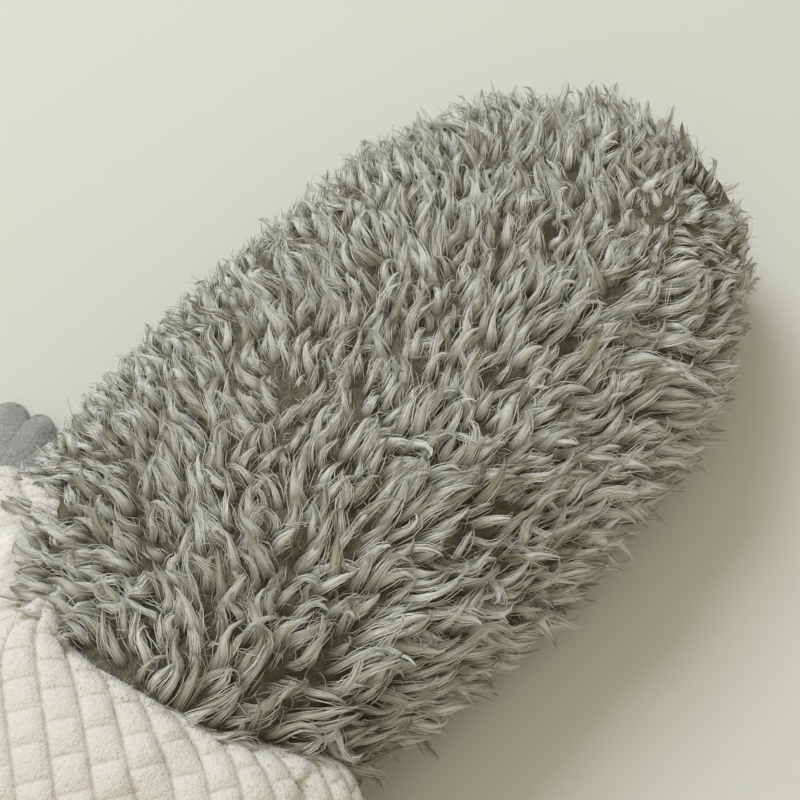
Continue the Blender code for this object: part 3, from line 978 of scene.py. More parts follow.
@dataclass
class FurCoat:
    """The pile: thousands of locks that lie forward and to the left, with partings and curls."""

    body: BodyShape
    material: bpy.types.Material
    eyes: list[Vector]
    rooms: list[FootRoom]
    lay_angle: float = math.radians(42)
    brow: tuple[float, float, float] = (-0.72, -0.42, 0.55)  # from an eye back to its brow
    limit: int = 190000  # triangles a piece
    under: float = 0.012  # below this height the fur lies on the table
    kinds: tuple[LockKind, ...] = (
        LockKind(
            "pile", LockPattern(), 0.0035, 0.0155, 0.52, (60, 12), (10, 20), 48, 0.42, 28, 0.64, 11
        ),
        LockKind(
            "underpile",
            LockPattern(
                strands=4, strands_below=2, half_width=0.0022, half_thickness=0.0018,
                stations=(0.0, 0.45, 0.8, 1.0), taper=(0.9, 1.0, 0.8, 0.0),
                girth=(0.6, 1.0, 1.1, 1.2), core=0.0, stray=0.5,
            ),
            0.0048, 0.0105, 0.50, (55, 18), (20, 26), 60, 0.5, 60, 0.44, 23,
        ),
        LockKind(
            "wisps",
            LockPattern(
                strands=1, strands_below=1, half_width=0.0010, half_thickness=0.0010,
                strand_width=0.00011, strand_thickness=0.00010,
                stations=(0.0, 0.2, 0.38, 0.53, 0.67, 0.79, 0.9, 1.0),
                taper=(0.9, 1.0, 1.0, 1.0, 0.9, 0.8, 0.6, 0.0),
                girth=(0.6, 1.0, 1.0, 1.0), core=0.0,
            ),
            0.0040, 0.0140, 0.62, (66, 16), (22, 26), 80, 0.6, 65, 0.66, 37,
        ),
    )
    tuft: float = 0.0088  # between the tufts that the locks gather into
    steps: int = 14  # along a lock's centreline
    upper_side: float = 0.045  # above this height there are hollows
    parting: float = 0.7  # how much a hollow pushes the locks apart
    cuff_lean: float = 0.85  # how much the locks by the cuff lean back over it
    eye_reach: float = 0.012
    eye_clear: float = 0.0080
    eye_push: float = 4.0
    hollows: tuple[Hollow, ...] = (
        Hollow(-0.045, 0.012, 0.012),
        Hollow(0.083, 0.036, 0.014),
        Hollow(0.085, -0.028, 0.013),
        Hollow(-0.004, -0.030, 0.011),
        Hollow(-0.110, 0.004, 0.010),
    )

    def roots(self, kind: LockKind, chance: np.random.Generator) -> tuple[np.ndarray, np.ndarray]:
        """Spreads the roots of the locks evenly over the body.

        Args:
            kind: The layer.
            chance: Where random numbers come from.

        Returns:
            The roots' places along and around the body.
        """
        grid_along = np.linspace(-0.93, 0.995, 220)
        grid_around = np.linspace(0, 2 * math.pi, 260, endpoint=False)
        a, t = np.meshgrid(grid_along, grid_around, indexing="ij")
        places = self.body.point(a, t, 0.3)
        area = np.linalg.norm(
            np.cross(np.gradient(places, axis=0), np.gradient(places, axis=1)), axis=-1
        )
        shares = np.cumsum(area.ravel()) / area.sum()
        picked = np.searchsorted(shares, chance.uniform(0, 1, int(0.55 / kind.spacing**2)))
        along = a.ravel()[picked] + chance.uniform(-0.5, 0.5, len(picked)) * 0.0088
        around = t.ravel()[picked] + chance.uniform(-0.5, 0.5, len(picked)) * 0.024
        along = np.clip(along, -0.93, 0.999)
        kept = self.spread(self.body.point(along, around, 0.3), kind.spacing)
        return along[kept], around[kept]

    @staticmethod
    def spread(places: np.ndarray, spacing: float) -> list[int]:
        """Picks places that all keep a distance to one another.

        Args:
            places: The places to pick from, in the order in which they are tried.
            spacing: The least distance.

        Returns:
            The rows of those picked.
        """
        kept: list[int] = []
        cells: dict[tuple[int, ...], list[tuple[float, ...]]] = {}
        least = spacing**2
        for index, place in enumerate(places.tolist()):
            home = tuple(math.floor(c / spacing) for c in place)
            near = (
                other
                for dx in (-1, 0, 1)
                for dy in (-1, 0, 1)
                for dz in (-1, 0, 1)
                for other in cells.get((home[0] + dx, home[1] + dy, home[2] + dz), ())
            )
            if all(sum((p - q) ** 2 for p, q in zip(place, other)) > least for other in near):
                cells.setdefault(home, []).append(tuple(place))
                kept.append(index)
        return kept

    def by_hollows(self, places: np.ndarray) -> np.ndarray:
        """How deep each place is in a hollow of the upper side, from 0 to 1."""
        depth = np.zeros(len(places))
        for hollow in self.hollows:
            gone = np.linalg.norm(places[:, :2] - np.array([hollow.x, hollow.y]), axis=1)
            depth = np.maximum(depth, bell(gone, hollow.radius))
        return depth * (places[:, 2] > self.upper_side)

    def by_eyes(self, places: np.ndarray, reach: float) -> np.ndarray:
        """How near each place is to an eye, from 0 to 1."""
        return bell(gone_from(places, self.eyes), reach)

    def behind_eyes(self, places: np.ndarray) -> np.ndarray:
        """How far each place is up the brow of its eye rather than in front of it, from 0 to 1."""
        all_away = np.stack([places - np.array(eye) for eye in self.eyes])
        own = np.argmin(np.linalg.norm(all_away, axis=-1), axis=0)
        away = all_away[own, np.arange(len(places))]
        return smooth_step(0.5 + 1.2 * (unit(away) @ np.array(self.brow)))

    def lay(
        self, kind: LockKind, places: np.ndarray, normals: np.ndarray, chance: np.random.Generator
    ) -> np.ndarray:
        """The way each lock leans, along the surface.

        Args:
            kind: The layer.
            places: The roots.
            normals: The surface's normals there.
            chance: Where random numbers come from.

        Returns:
            Unit vectors, one a root.
        """
        x = places[:, 0] / self.body.nose
        y = places[:, 1] / self.body.half_width
        nap = 0.8 * np.array([math.cos(self.lay_angle), math.sin(self.lay_angle), 0.0])
        fan = np.stack([0.32 * x, np.where(y > 0, 1.5, 1.25) * y, 0.08 + 0 * y], axis=-1)
        by_cuff = smooth_step((-0.080 - places[:, 0]) / 0.03)
        fan[:, 0] -= self.cuff_lean * by_cuff * smooth_step((places[:, 1] + 0.01) / 0.03)
        heading = nap + fan
        for hollow in self.hollows:
            away = places[:, :2] - np.array([hollow.x, hollow.y])
            gone = np.linalg.norm(away, axis=1)
            push = self.parting * bell(gone, 1.3 * hollow.radius) * (places[:, 2] > self.upper_side)
            heading[:, :2] += unit(away) * push[:, None]
        behind = self.behind_eyes(places)
        for eye in self.eyes:
            away = places - np.array(eye)
            near = bell(np.linalg.norm(away, axis=1), self.eye_reach) * (1 - behind)
            heading += unit(away) * (self.eye_push * near)[:, None]
        level = places[:, 2] - self.body.mouth_level
        lip = bell(level, 0.006) * smooth_step((places[:, 0] - self.body.hinge_x) / 0.015)
        heading[:, 2] -= 0.15 * np.sign(level) * lip
        heading -= normals * np.sum(heading * normals, axis=1)[:, None]
        heading = unit(heading)
        turn = (
            math.radians(36) * wander(places, 0.030, 3.0)
            + math.radians(44) * wander(places, 0.011, 8.0)
            + chance.normal(0, math.radians(kind.wildness), len(places))
        )
        return turned(heading, np.cross(normals, heading), turn)

    def lock_lengths(
        self, kind: LockKind, places: np.ndarray, chance: np.random.Generator
    ) -> np.ndarray:
        """The length of each lock: shorter underneath, by the eyes and in the hollows.

        Args:
            kind: The layer.
            places: The roots.
            chance: Where random numbers come from.

        Returns:
            Lengths in metres.
        """
        x, y, z = places.T
        lengths = kind.length * chance.uniform(0.68, 1.26, len(places))
        lengths *= 1 - 0.55 * smooth_step((0.016 - z) / 0.010)
        lengths *= 1 - 0.25 * bell(z - self.body.mouth_level, 0.005) * (x > self.body.hinge_x)
        rear = smooth_step((0.080 - x) / 0.05)
        lengths *= 1 + 0.30 * smooth_step((-0.005 - y) / 0.05) * rear
        lengths *= 1 - 0.14 * smooth_step(-y / 0.03) * (1 - rear)
        lengths *= 1 + 0.22 * smooth_step((x - 0.06) / 0.05) * smooth_step(y / 0.02)
        back = smooth_step((x + 0.13) / 0.03) * smooth_step((0.05 - x) / 0.03)
        lengths *= 1 - 0.26 * back * smooth_step((y - 0.02) / 0.03)
        front = self.by_eyes(places, self.eye_reach) * (1 - self.behind_eyes(places))
        return lengths * (1 - 0.35 * front) * (1 - 0.2 * self.by_hollows(places))

    def centrelines(
        self, kind: LockKind, roots: np.ndarray, normals: np.ndarray, headings: np.ndarray,
        lengths: np.ndarray, chance: np.random.Generator,
    ) -> Lines:
        """Bends each lock from rising at its root to lying at its tip.

        Args:
            kind: The layer.
            roots: Where the locks start.
            normals: The surface's normals there.
            headings: The ways that the locks lean.
            lengths: The locks' lengths.
            chance: Where random numbers come from.

        Returns:
            Places, side directions and face directions, by lock and step.
        """
        count, steps = len(roots), self.steps
        start = np.radians(chance.normal(*kind.rise, count))
        end = np.radians(chance.normal(*kind.lie, count))
        brow = self.by_eyes(roots, self.eye_reach) * self.behind_eyes(roots)
        start += (math.radians(78) - start) * brow
        end += (math.radians(48) - end) * brow
        under = smooth_step((0.014 - roots[:, 2]) / 0.010)
        start = start * (1 - under) + math.radians(16) * under
        end = end * (1 - under) + math.radians(2) * under
        curl = np.radians(chance.normal(0, kind.curl, count))
        hook = np.where(chance.uniform(0, 1, count) < kind.hooked, 1.0, 0.15)
        hook = hook * np.sign(curl) * np.radians(chance.uniform(30, 110, count))
        tip_lift = np.radians(chance.normal(8, 26, count)) * (1 - under)
        twist = np.radians(chance.normal(0, 50, count))
        wave = np.radians(chance.normal(0, 24, count))
        rate, phase = chance.uniform(0.8, 1.6, count), chance.uniform(0, 2 * math.pi, count)
        side = np.cross(normals, headings)
        place = roots.copy()
        places, sides, faces = [], [], []
        for step in range(steps):
            t = step / (steps - 1)
            late = max(0.0, t - 0.55) / 0.45
            lift = start + (end - start) * t**0.7 + tip_lift * late
            turn = curl * t * t + hook * late**1.5
            turn += wave * (np.sin(2 * math.pi * rate * t + phase) - np.sin(phase)) * t**0.5
            level = turned(headings, side, turn)
            tangent = turned(level, normals, lift)
            across = unit(np.cross(normals, level))
            outer = np.cross(tangent, across)
            sides.append(turned(across, outer, twist * t))
            faces.append(turned(outer, -across, twist * t))
            places.append(place.copy())
            place = place + tangent * (lengths / (steps - 1))[:, None]
        return tuple(np.stack(x, axis=1) for x in (places, sides, faces))

    def gather(
        self, kind: LockKind, roots: np.ndarray, places: np.ndarray, chance: np.random.Generator
    ) -> tuple[np.ndarray, np.ndarray]:
        """Draws the tips of neighbouring locks into tufts, and gives each lock its tone.

        Args:
            kind: The layer.
            roots: Where the locks start.
            places: Their centrelines.
            chance: Where random numbers come from.

        Returns:
            The new centrelines, and one tone a lock, from 0 to 1.
        """
        lifted = roots.copy()
        lifted[:, 2] += roots[:, 2] > self.body.mouth_level  # so that none reaches over the lips
        heads = lifted[self.spread(lifted, self.tuft)]
        own = np.array([int(np.argmin(np.sum((heads - place) ** 2, axis=1))) for place in lifted])
        tips = places[:, -1]
        sums = np.zeros_like(heads)
        np.add.at(sums, own, tips)
        meeting = sums / np.maximum(np.bincount(own, minlength=len(heads)), 1)[:, None]
        share = chance.uniform(0.0, 0.75, len(roots))
        t = np.linspace(0, 1, places.shape[1]) ** 1.6
        pull = (meeting[own] - tips)[:, None, :] * t[None, :, None] * share[:, None, None]
        tones = chance.normal(kind.tone, 0.13, len(roots)) + chance.normal(0, 0.06, len(heads))[own]
        tones += 0.16 * wander(roots, 0.016, 12.0)
        dark = chance.uniform(0, 1, len(roots)) < 0.17
        tones = np.where(dark, chance.uniform(0.1, 0.4, len(roots)), tones)
        return places + pull, tones

    def build(self) -> list[bpy.types.Object]:
        """Lays every lock and splits the coat into pieces.

        Returns:
            The pieces.
        """
        pieces = []
        for kind in self.kinds:
            chance = np.random.default_rng(kind.seed)
            along, around = self.roots(kind, chance)
            near = self.by_eyes(self.body.point(along, around, 0.4), 0.013)
            roots = self.body.point(along, around, kind.root_depth * (1 - 0.75 * near))
            normals = self.body.normal(along, around, kind.root_depth)
            clear = roots[:, 2] > 0.002
            clear &= gone_from(roots, self.eyes) > self.eye_clear
            at_lips = np.abs(roots[:, 2] - self.body.mouth_level) < 0.0012
            clear &= ~(at_lips & (roots[:, 0] > self.body.hinge_x))
            roots, normals = roots[clear], normals[clear]
            headings = self.lay(kind, roots, normals, chance)
            lengths = self.lock_lengths(kind, roots, chance)
            lines, sides, faces = self.centrelines(kind, roots, normals, headings, lengths, chance)
            lines, tones = self.gather(kind, roots, lines, chance)
            for room in self.rooms:
                room.clear(lines)
            pieces += self.split(kind, roots, tones, (lines, sides, faces), chance)
        return pieces

    def split(
        self, kind: LockKind, roots: np.ndarray, tones: np.ndarray,
        lines: Lines, chance: np.random.Generator,
    ) -> list[bpy.types.Object]:
        """Sorts the locks into bands of the body and builds a piece of each.

        Args:
            kind: The layer.
            roots: The locks' roots.
            tones: Their tones.
            lines: Their centrelines with their side and face directions.
            chance: Where random numbers come from.

        Returns:
            The pieces.
        """
        pattern = kind.pattern
        strand = pattern.tube_mesh(3, pattern.taper)
        core = pattern.tube_mesh(5, pattern.core_taper)
        one_strand, one_core = (sum(len(q) - 2 for q in tube[1]) for tube in (strand, core))
        one_core = one_core if pattern.core else 0
        bundles = pattern.bundles(chance)
        upper = roots[:, 2] > self.body.mouth_level
        under = roots[:, 2] < self.under
        jaw = roots[:, 0] > self.body.hinge_x
        groups = {
            "upper": (np.flatnonzero(upper), pattern.strands),
            "lower": (np.flatnonzero(~upper & ~under & ~jaw), pattern.strands),
            "jaw": (np.flatnonzero(~upper & ~under & jaw), pattern.strands),
            "under": (np.flatnonzero(under), pattern.strands_below),
        }
        pieces, total = [], 0
        for name, (members, strands) in groups.items():
            members = members[np.argsort(roots[members, 0])]
            each = one_strand * strands + one_core
            parts = max(1, math.ceil(len(members) * each / self.limit))
            total += len(members) * each
            some = {key: value[:, :strands] for key, value in bundles.items()}
            for number, chosen in enumerate(np.array_split(members, parts), start=1):
                piece = self.bundle_mesh(
                    f"{kind.name}_{name}_{number}", kind, (strand, core), some,
                    tuple(line[chosen] for line in lines), tones[chosen], chance,
                )
                pieces.append(piece)
        log.info("%s: %d locks, %d triangles", kind.name, len(roots), total)
        return pieces

    def bundle_mesh(
        self, name: str, kind: LockKind, tubes: tuple[tuple, tuple], bundles: dict[str, np.ndarray],
        lines: Lines, tone: np.ndarray,
        chance: np.random.Generator,
    ) -> bpy.types.Object:
        """Builds the strands and the cores of some locks as one mesh.

        Args:
            name: The piece's name.
            kind: The layer.
            tubes: Corners and faces of one strand, and of one core.
            bundles: Places of the strands in a lock.
            lines: The locks' centrelines with their side and face directions.
            tone: The locks' tones.
            chance: Where random numbers come from.

        Returns:
            The piece.
        """
        pattern = kind.pattern
        count = len(lines[0])
        variant = chance.integers(0, pattern.variants, count)
        strands = {key: value[variant] for key, value in bundles.items()}
        size = np.clip(np.exp(chance.normal(0, 0.28, count)), 0.55, 1.6)[:, None, None]
        tips = np.where(chance.uniform(0, 1, count) < 0.4, chance.uniform(0.4, 1.0, count), 0.0)
        thin = (pattern.strand_width, pattern.strand_thickness)
        made = [self.tubes_along(pattern, tubes[0], pattern.stations, strands, size, thin, lines)]
        parts = [(tubes[0], made[0], strands["face"])]
        if pattern.core:
            still = np.zeros((count, 1))
            middle = {key: still for key in ("side", "face", "splay", "sway", "ripple")}
            middle["reach"] = still + 0.96
            wide = (pattern.half_width * pattern.core, pattern.half_thickness * pattern.core)
            at = pattern.core_stations
            cores = self.tubes_along(pattern, tubes[1], at, middle, size, wide, lines)
            parts.append((tubes[1], cores, still))
        points, polygons, told, combed, start = [], [], [], [], 0
        for (corners, faces), (place, t), face in parts:
            shape = t.shape
            base = start + np.arange(shape[0] * shape[1]) * shape[2]
            polygons += repeated_faces(faces, base)
            points.append(place.reshape(-1, 3))
            start += t.size
            colour = np.ones((*shape, 4), np.float32)
            # Painted light and shade: a lock's outer face gets a paler tone, its underside a darker
            # one.
            outward = corners[None, None, :, 1] if shape[1] == 1 else face[..., None]
            mottle = chance.normal(0, 0.10, shape[:2])[..., None]
            colour[..., 0] = np.clip(tone[:, None, None] + 0.28 * outward + mottle, 0, 1)
            colour[..., 1] = t
            colour[..., 2] = chance.uniform(0, 1, shape[:2])[..., None]
            colour[..., 3] = tips[:, None, None]
            told.append(colour.reshape(-1, 4))
            fibre = np.zeros((*shape, 3), np.float32)
            fibre[..., :2] = corners[:, :2] if shape[1] == 1 else 0.0
            fibre[..., 2] = 0.3 * t
            fibre += chance.uniform(0, 60, shape[:2])[..., None, None]
            combed.append(fibre.reshape(-1, 3))
        mesh = bpy.data.meshes.new(name)
        mesh.from_pydata(np.concatenate(points).tolist(), [], polygons)
        layer = mesh.attributes.new("lock", "FLOAT_COLOR", "POINT")
        layer.data.foreach_set("color", np.concatenate(told).reshape(-1))
        layer = mesh.attributes.new("fibre", "FLOAT_VECTOR", "POINT")
        layer.data.foreach_set("vector", np.concatenate(combed).reshape(-1))
        return add_piece(mesh, self.material)

    @staticmethod
    def tubes_along(
        pattern: LockPattern, tube: tuple[np.ndarray, list], stations: tuple[float, ...],
        bundle: dict[str, np.ndarray], size: np.ndarray, girths: tuple[float, float],
        lines: Lines,
    ) -> tuple[np.ndarray, np.ndarray]:
        """Bends tubes along the centrelines of their locks.

        Args:
            pattern: The lock.
            tube: Corners and faces of one tube.
            stations: Where its rings are along the lock.
            bundle: Places of the tubes in each lock.
            size: Each lock's size beside the pattern's.
            girths: Half the tube's width and half its thickness.
            lines: The locks' centrelines with their side and face directions.

        Returns:
            Places by lock, tube and corner, and how far along the lock each is.
        """
        corners = tube[0]
        places, sides, faces = lines
        count, steps = places.shape[:2]
        at = np.array(stations)[np.round(corners[:, 2]).astype(int)]
        t = at[None, None, :] * bundle["reach"][:, :, None]
        index = t * (steps - 1)
        low = np.minimum(index.astype(int), steps - 2)
        share = (index - low)[..., None]
        rows = np.arange(count)[:, None, None]
        centre, across, outer = (
            line[rows, low] * (1 - share) + line[rows, low + 1] * share
            for line in (places, sides, faces)
        )
        girth = np.interp(t, np.linspace(0, 1, len(pattern.girth)), pattern.girth)
        spread = girth + bundle["splay"][:, :, None] * t**1.5
        bend = bundle["sway"][:, :, None] * np.sin(math.pi * t)
        bend = bend + bundle["ripple"][:, :, None] * np.sin(2 * math.pi * t)
        own = size * girth if t.shape[1] == 1 else 1.0
        along_side = pattern.half_width * size * (bundle["side"][:, :, None] * spread + bend)
        along_face = pattern.half_thickness * size * bundle["face"][:, :, None] * spread
        along_side = along_side + girths[0] * own * corners[None, None, :, 0]
        along_face = along_face + girths[1] * own * corners[None, None, :, 1]
        made = centre + across * along_side[..., None] + outer * along_face[..., None]
        keep_off_table(made)
        return made, t


@dataclass
class FurryBody:
    """The backing under the fur, and the coat on it."""

    body: BodyShape
    wardrobe: Wardrobe
    eyes: list[Vector]
    rooms: list[FootRoom]
    backing_depth: float = 0.68
    wall: float = 0.0088
    thin: float = 0.34  # share of the wall that is left by the cuff
    socket: float = 0.0085  # how far the backing stays clear round an eye's middle
    socket_edge: float = 0.007
    bend_reach: float = 0.017
    bend_lean: float = math.radians(10)

    def bend(self, piece: bpy.types.Object) -> None:
        """Bakes a piece's transform into its mesh.

        Args:
            piece: A piece of the upper side.
        """
        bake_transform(piece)

    def past_socket(self, places: np.ndarray) -> np.ndarray:
        """How far each place is out of the eyes' sockets, from 0 to 1."""
        return smooth_step((gone_from(places, self.eyes) - self.socket) / self.socket_edge)

    def backing(
        self, name: str, low: float, high: float, first: float, last: float
    ) -> bpy.types.Object:
        """One panel of the backing with its underfur.

        Args:
            name: The piece's name.
            low: Radians around the body where it starts.
            high: Radians around the body where it ends.
            first: Place along the body where it starts.
            last: Place along the body where it ends.

        Returns:
            The panel.
        """
        columns, rows = 120, 72
        a, t = grid_over(columns, rows, (first, last), (low, high))
        socket = 1 - self.past_socket(self.body.point(a, t, 0.4))
        points = self.body.point(a, t, self.backing_depth * (1 - 0.92 * socket))
        flat = points.reshape(-1, 3)
        swell = wander(flat, 0.007, 5.0) * 0.0015
        flat += self.body.normal(a.ravel(), t.ravel(), self.backing_depth) * swell[:, None]
        keep_off_table(flat)
        points = flat.reshape(points.shape)
        shape = mapped_grid(columns, rows, points, np.stack([a, t], axis=-1), 1e-5)
        bmesh.ops.reverse_faces(shape, faces=shape.faces)
        piece = finish_piece(name, shape, self.wardrobe.backing)
        thicken(piece, self.wall)
        group = piece.vertex_groups.new(name="wall")
        piece.modifiers["wall"].vertex_group = group.name
        spots = np.array([v.co for v in piece.data.vertices])
        share = self.thin + (1 - self.thin) * smooth_step((spots[:, 0] + 0.125) / 0.04)
        share *= 0.12 + 0.88 * self.past_socket(spots)
        for index, value in enumerate(share.tolist()):
            group.add([index], value, "REPLACE")
        return piece

    def build(self) -> None:
        """Builds the backing and the coat."""
        gap, rear, nose = 0.006, -0.99, 0.999
        hinge_along = 0.365
        below = (math.pi + gap, 2 * math.pi - gap)
        upper = self.backing("backing_upper", gap, math.pi - gap, rear, nose)
        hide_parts("fur_back", "fur_nape", "fur_head")
        self.bend(upper)
        lower = self.backing("backing_lower", *below, rear, hinge_along)
        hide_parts("fur_belly")
        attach(lower, "sleeve")
        jaw = self.backing("backing_jaw", *below, hinge_along + 0.003, nose)
        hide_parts("fur_jaw")
        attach(jaw, "sleeve")
        coat = FurCoat(self.body, self.wardrobe.fur, self.eyes, self.rooms)
        for piece in coat.build():
            if "_upper_" in piece.name:
                self.bend(piece)
            else:
                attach(piece, "sleeve")


# ---------------------------------------------------------------------------------------------
# The cuff
# ---------------------------------------------------------------------------------------------
@dataclass
class Cuff:
    """The padded cuff of waffle plush, turned in over the fur in front and the lining behind."""

    wardrobe: Wardrobe
    rear_x: float
    half_width: float
    top: float
    middle: float = 0.036
    bottom_sink: float = 0.001
    roll_side: float = 0.020
    roll_high: float = 0.016
    front_x: float = -0.138
    left_pull: float = 0.031
    left_pull_from: float = 0.004
    left_pull_to: float = 0.046
    right_pull: float = 0.028
    square: float = 0.0096
    puff: float = 0.0022
    grain: float = math.radians(57)
    hem_turn: float = math.radians(62)
    fibres: int = 14000
    nap_from: float = 0.016  # the height from which there are fibres, clear of the feet
    fibre_width: float = 0.00011
    columns: int = 400
    rows: int = 100
    folds: tuple[tuple[float, float, float, float], ...] = (
        (22.0, 0.004, 5.0, 12.0),
        (73.0, 0.012, 15.0, 9.0),
        (118.0, 0.0025, 5.0, 12.0),
        (148.0, 0.004, 4.0, 13.0),
        (250.0, 0.003, 4.0, 10.0),
        (268.0, 0.004, 4.0, 12.0),
        (294.0, 0.003, 4.0, 8.0),
    )

    def front(self, y: np.ndarray) -> np.ndarray:
        """Where the front edge is, at a distance y to the left of the middle."""
        share = smooth_step((y - self.left_pull_from) / (self.left_pull_to - self.left_pull_from))
        right = self.right_pull * (y / self.half_width) ** 2
        return self.front_x + np.where(y < 0, right, self.left_pull * share)

    def fold(self, degrees: np.ndarray) -> np.ndarray:
        """How deep the gathers draw the cuff in, at angles in degrees from its left."""
        depth = np.zeros_like(degrees)
        for valley, size, before, after in self.folds:
            away = (degrees - valley + 180) % 360 - 180
            depth += size * bell(away, np.where(away < 0, before, after))
        return depth

    def place(self, angle: np.ndarray, turn: np.ndarray) -> np.ndarray:
        """Places on the roll.

        Args:
            angle: Radians about the cuff, up from its left.
            turn: Radians about the roll, from its outermost line towards the front.

        Returns:
            Places, by the shape of the arguments.
        """
        side = signed_power(np.cos(angle), 2 / SECTION_POWER)
        up = signed_power(np.sin(angle), 2 / SECTION_POWER)
        rise = np.where(up > 0, self.top - self.middle, self.middle + self.bottom_sink)
        rise = rise - self.roll_high
        bulge = signed_power(np.cos(turn), 2 / SECTION_POWER)
        drawn = self.fold(np.degrees(angle)) * np.maximum(np.cos(turn), 0)
        front = self.front(self.half_width * side)
        along = signed_power(np.sin(turn), 2 / SECTION_POWER)
        x = (front + self.rear_x) / 2 + (front - self.rear_x) / 2 * along
        y = (self.half_width - self.roll_side + self.roll_side * bulge - drawn) * side
        z = self.middle + (rise + self.roll_high * bulge - drawn) * up
        return np.stack([x, y, z], axis=-1)

    def even(self, low: float, high: float, count: int, around: bool) -> np.ndarray:
        """Angles that are evenly spaced along the surface.

        Args:
            low: The first angle.
            high: The last angle.
            count: How many steps there are.
            around: Whether they run about the cuff, or else about the roll.

        Returns:
            One angle more than there are steps.
        """
        fine = np.linspace(low, high, 4000)
        rest = np.zeros_like(fine)
        line = self.place(fine, rest) if around else self.place(rest + math.pi / 2, fine)
        run = running_length(line)
        return np.interp(np.linspace(0, run[-1], count + 1), run, fine)

    def squares(self, across: np.ndarray, down: np.ndarray) -> tuple[np.ndarray, np.ndarray]:
        """Counts of puffed squares along the cloth's two grains.

        Args:
            across: Distance about the cuff, in metres.
            down: Distance over the roll, in metres.

        Returns:
            The two counts.
        """
        c, s = math.cos(self.grain), math.sin(self.grain)
        return (across * c + down * s) / self.square, (down * c - across * s) / self.square

    def nap(self, points: np.ndarray, normals: np.ndarray, counts: np.ndarray) -> bpy.types.Object:
        """Short loose fibres, which soften the plush and fray its rim.

        Args:
            points: The cover's places by column and row.
            normals: Its normals.
            counts: Its map coordinates.

        Returns:
            All of the fibres as one piece.
        """
        chance = np.random.default_rng(51)
        column = chance.integers(0, self.columns, self.fibres)
        row = np.floor(self.rows * chance.beta(9.0, 1.2, self.fibres)).astype(int)
        above = points[column, row, 2] > self.nap_from
        column, row = column[above], row[above]
        count = len(row)
        share = chance.uniform(0, 1, (2, count, 1))
        roots = points[column, row] * (1 - share[0]) + points[column + 1, row] * share[0]
        roots = roots + (points[column, row + 1] - points[column, row]) * share[1]
        ways = unit(normals[column, row] + 0.75 * chance.normal(0, 1, (count, 3)) / math.sqrt(3))
        across = unit(np.cross(ways, chance.normal(0, 1, (count, 3))))
        beside = np.cross(ways, across)
        roots = roots - 0.0004 * normals[column, row]
        corners, faces = LockPattern.tube_mesh(3, (1.0, 0.0))
        at_rim = smooth_step((row / self.rows - 0.72) / 0.12)[:, None, None]
        length = chance.uniform(0.0009, 0.0016, (count, 1, 1)) * (1 + 0.5 * at_rim)
        places = (
            roots[:, None, :]
            + across[:, None, :] * corners[None, :, :1] * self.fibre_width
            + beside[:, None, :] * corners[None, :, 1:2] * self.fibre_width
            + ways[:, None, :] * corners[None, :, 2:] * length
        )
        keep_off_table(places)
        polygons = repeated_faces(faces, np.arange(count) * len(corners))
        mesh = bpy.data.meshes.new("cuff_nap")
        mesh.from_pydata(places.reshape(-1, 3).tolist(), [], polygons)
        layer = mesh.uv_layers.new(name="cloth")
        used = np.zeros(len(mesh.loops), np.int64)
        mesh.loops.foreach_get("vertex_index", used)
        told = counts[column, row][used // len(corners)]
        layer.data.foreach_set("uv", told.astype(np.float32).ravel())
        piece = add_piece(mesh, self.wardrobe.waffle)
        mesh.normals_split_custom_set_from_vertices(
            np.repeat(normals[column, row], len(corners), axis=0).tolist()
        )
        return piece

    def dent(self, piece: bpy.types.Object) -> None:
        """Draws the filling in under the gathers.

        Args:
            piece: The filling.
        """
        points = np.array([v.co for v in piece.data.vertices])
        away = points[:, 1:] - np.array([0.0, self.middle])
        rise = np.where(away[:, 1] > 0, self.top - self.middle, self.middle + self.bottom_sink)
        share = np.abs(away) / np.stack([np.full_like(rise, self.half_width), rise], axis=-1)
        turned = np.sign(away) * share ** (SECTION_POWER / 2)
        angle = np.degrees(np.arctan2(turned[:, 1], turned[:, 0]))
        out = np.sum(share**SECTION_POWER, axis=1) ** (1 / SECTION_POWER)
        points[:, 1:] -= unit(away) * (self.fold(angle) * smooth_step((out - 0.6) / 0.3))[:, None]
        piece.data.vertices.foreach_set("co", points.ravel())

    def build(self) -> None:
        """Builds the plush cover and the filling under it."""
        start = -math.pi / 2
        angles = self.even(start, start + 2 * math.pi, self.columns, True)
        turns = self.even(math.radians(-128), math.radians(118), self.rows, False)
        a, t = np.meshgrid(angles, turns, indexing="ij")
        points = self.place(a, t)
        down = running_length(points, axis=1)
        across = running_length(self.place(angles, np.zeros_like(angles)))
        across = np.broadcast_to(across[:, None], down.shape)
        u, v = self.squares(across, down)
        normals = surface_normals(points)
        normals[0] = normals[-1] = unit(normals[0] + normals[-1])
        column = np.floor(u)
        shifted = v + 0.5 * (column % 2) + 0.12 * np.sin(5.3 * column)
        pillow_u = 1 - np.abs(2 * (u % 1) - 1) ** 4
        pillow_v = 1 - np.abs(2 * (shifted % 1) - 1) ** 3
        height = self.puff * (pillow_u * (0.45 + 0.55 * pillow_v)) ** 0.7
        hemmed = 0.8 * smooth_step((t - self.hem_turn) / 0.35)
        height = height * (1 - hemmed) + 0.8 * self.puff * hemmed
        flat = points.reshape(-1, 3)
        sag = wander(flat, 0.028, 2.0) * 0.0016 + wander(flat, 0.011, 6.0) * 0.0006
        sag = sag.reshape(u.shape)
        sag[0] = sag[-1]
        height[0] = height[-1]
        points = points + normals * (height + sag - self.puff)[..., None]
        keep_off_table(points)
        points[-1] = points[0]
        counts = np.stack([u, v], axis=-1)
        loose = self.nap(points, normals, counts)
        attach(loose, "sleeve")
        shape = mapped_grid(self.columns, self.rows, points, counts, 2e-5)
        piece = finish_piece("cuff_plush", shape, self.wardrobe.waffle)
        thicken(piece, 0.0012)
        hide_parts("cuff_cover")
        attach(piece, "sleeve")
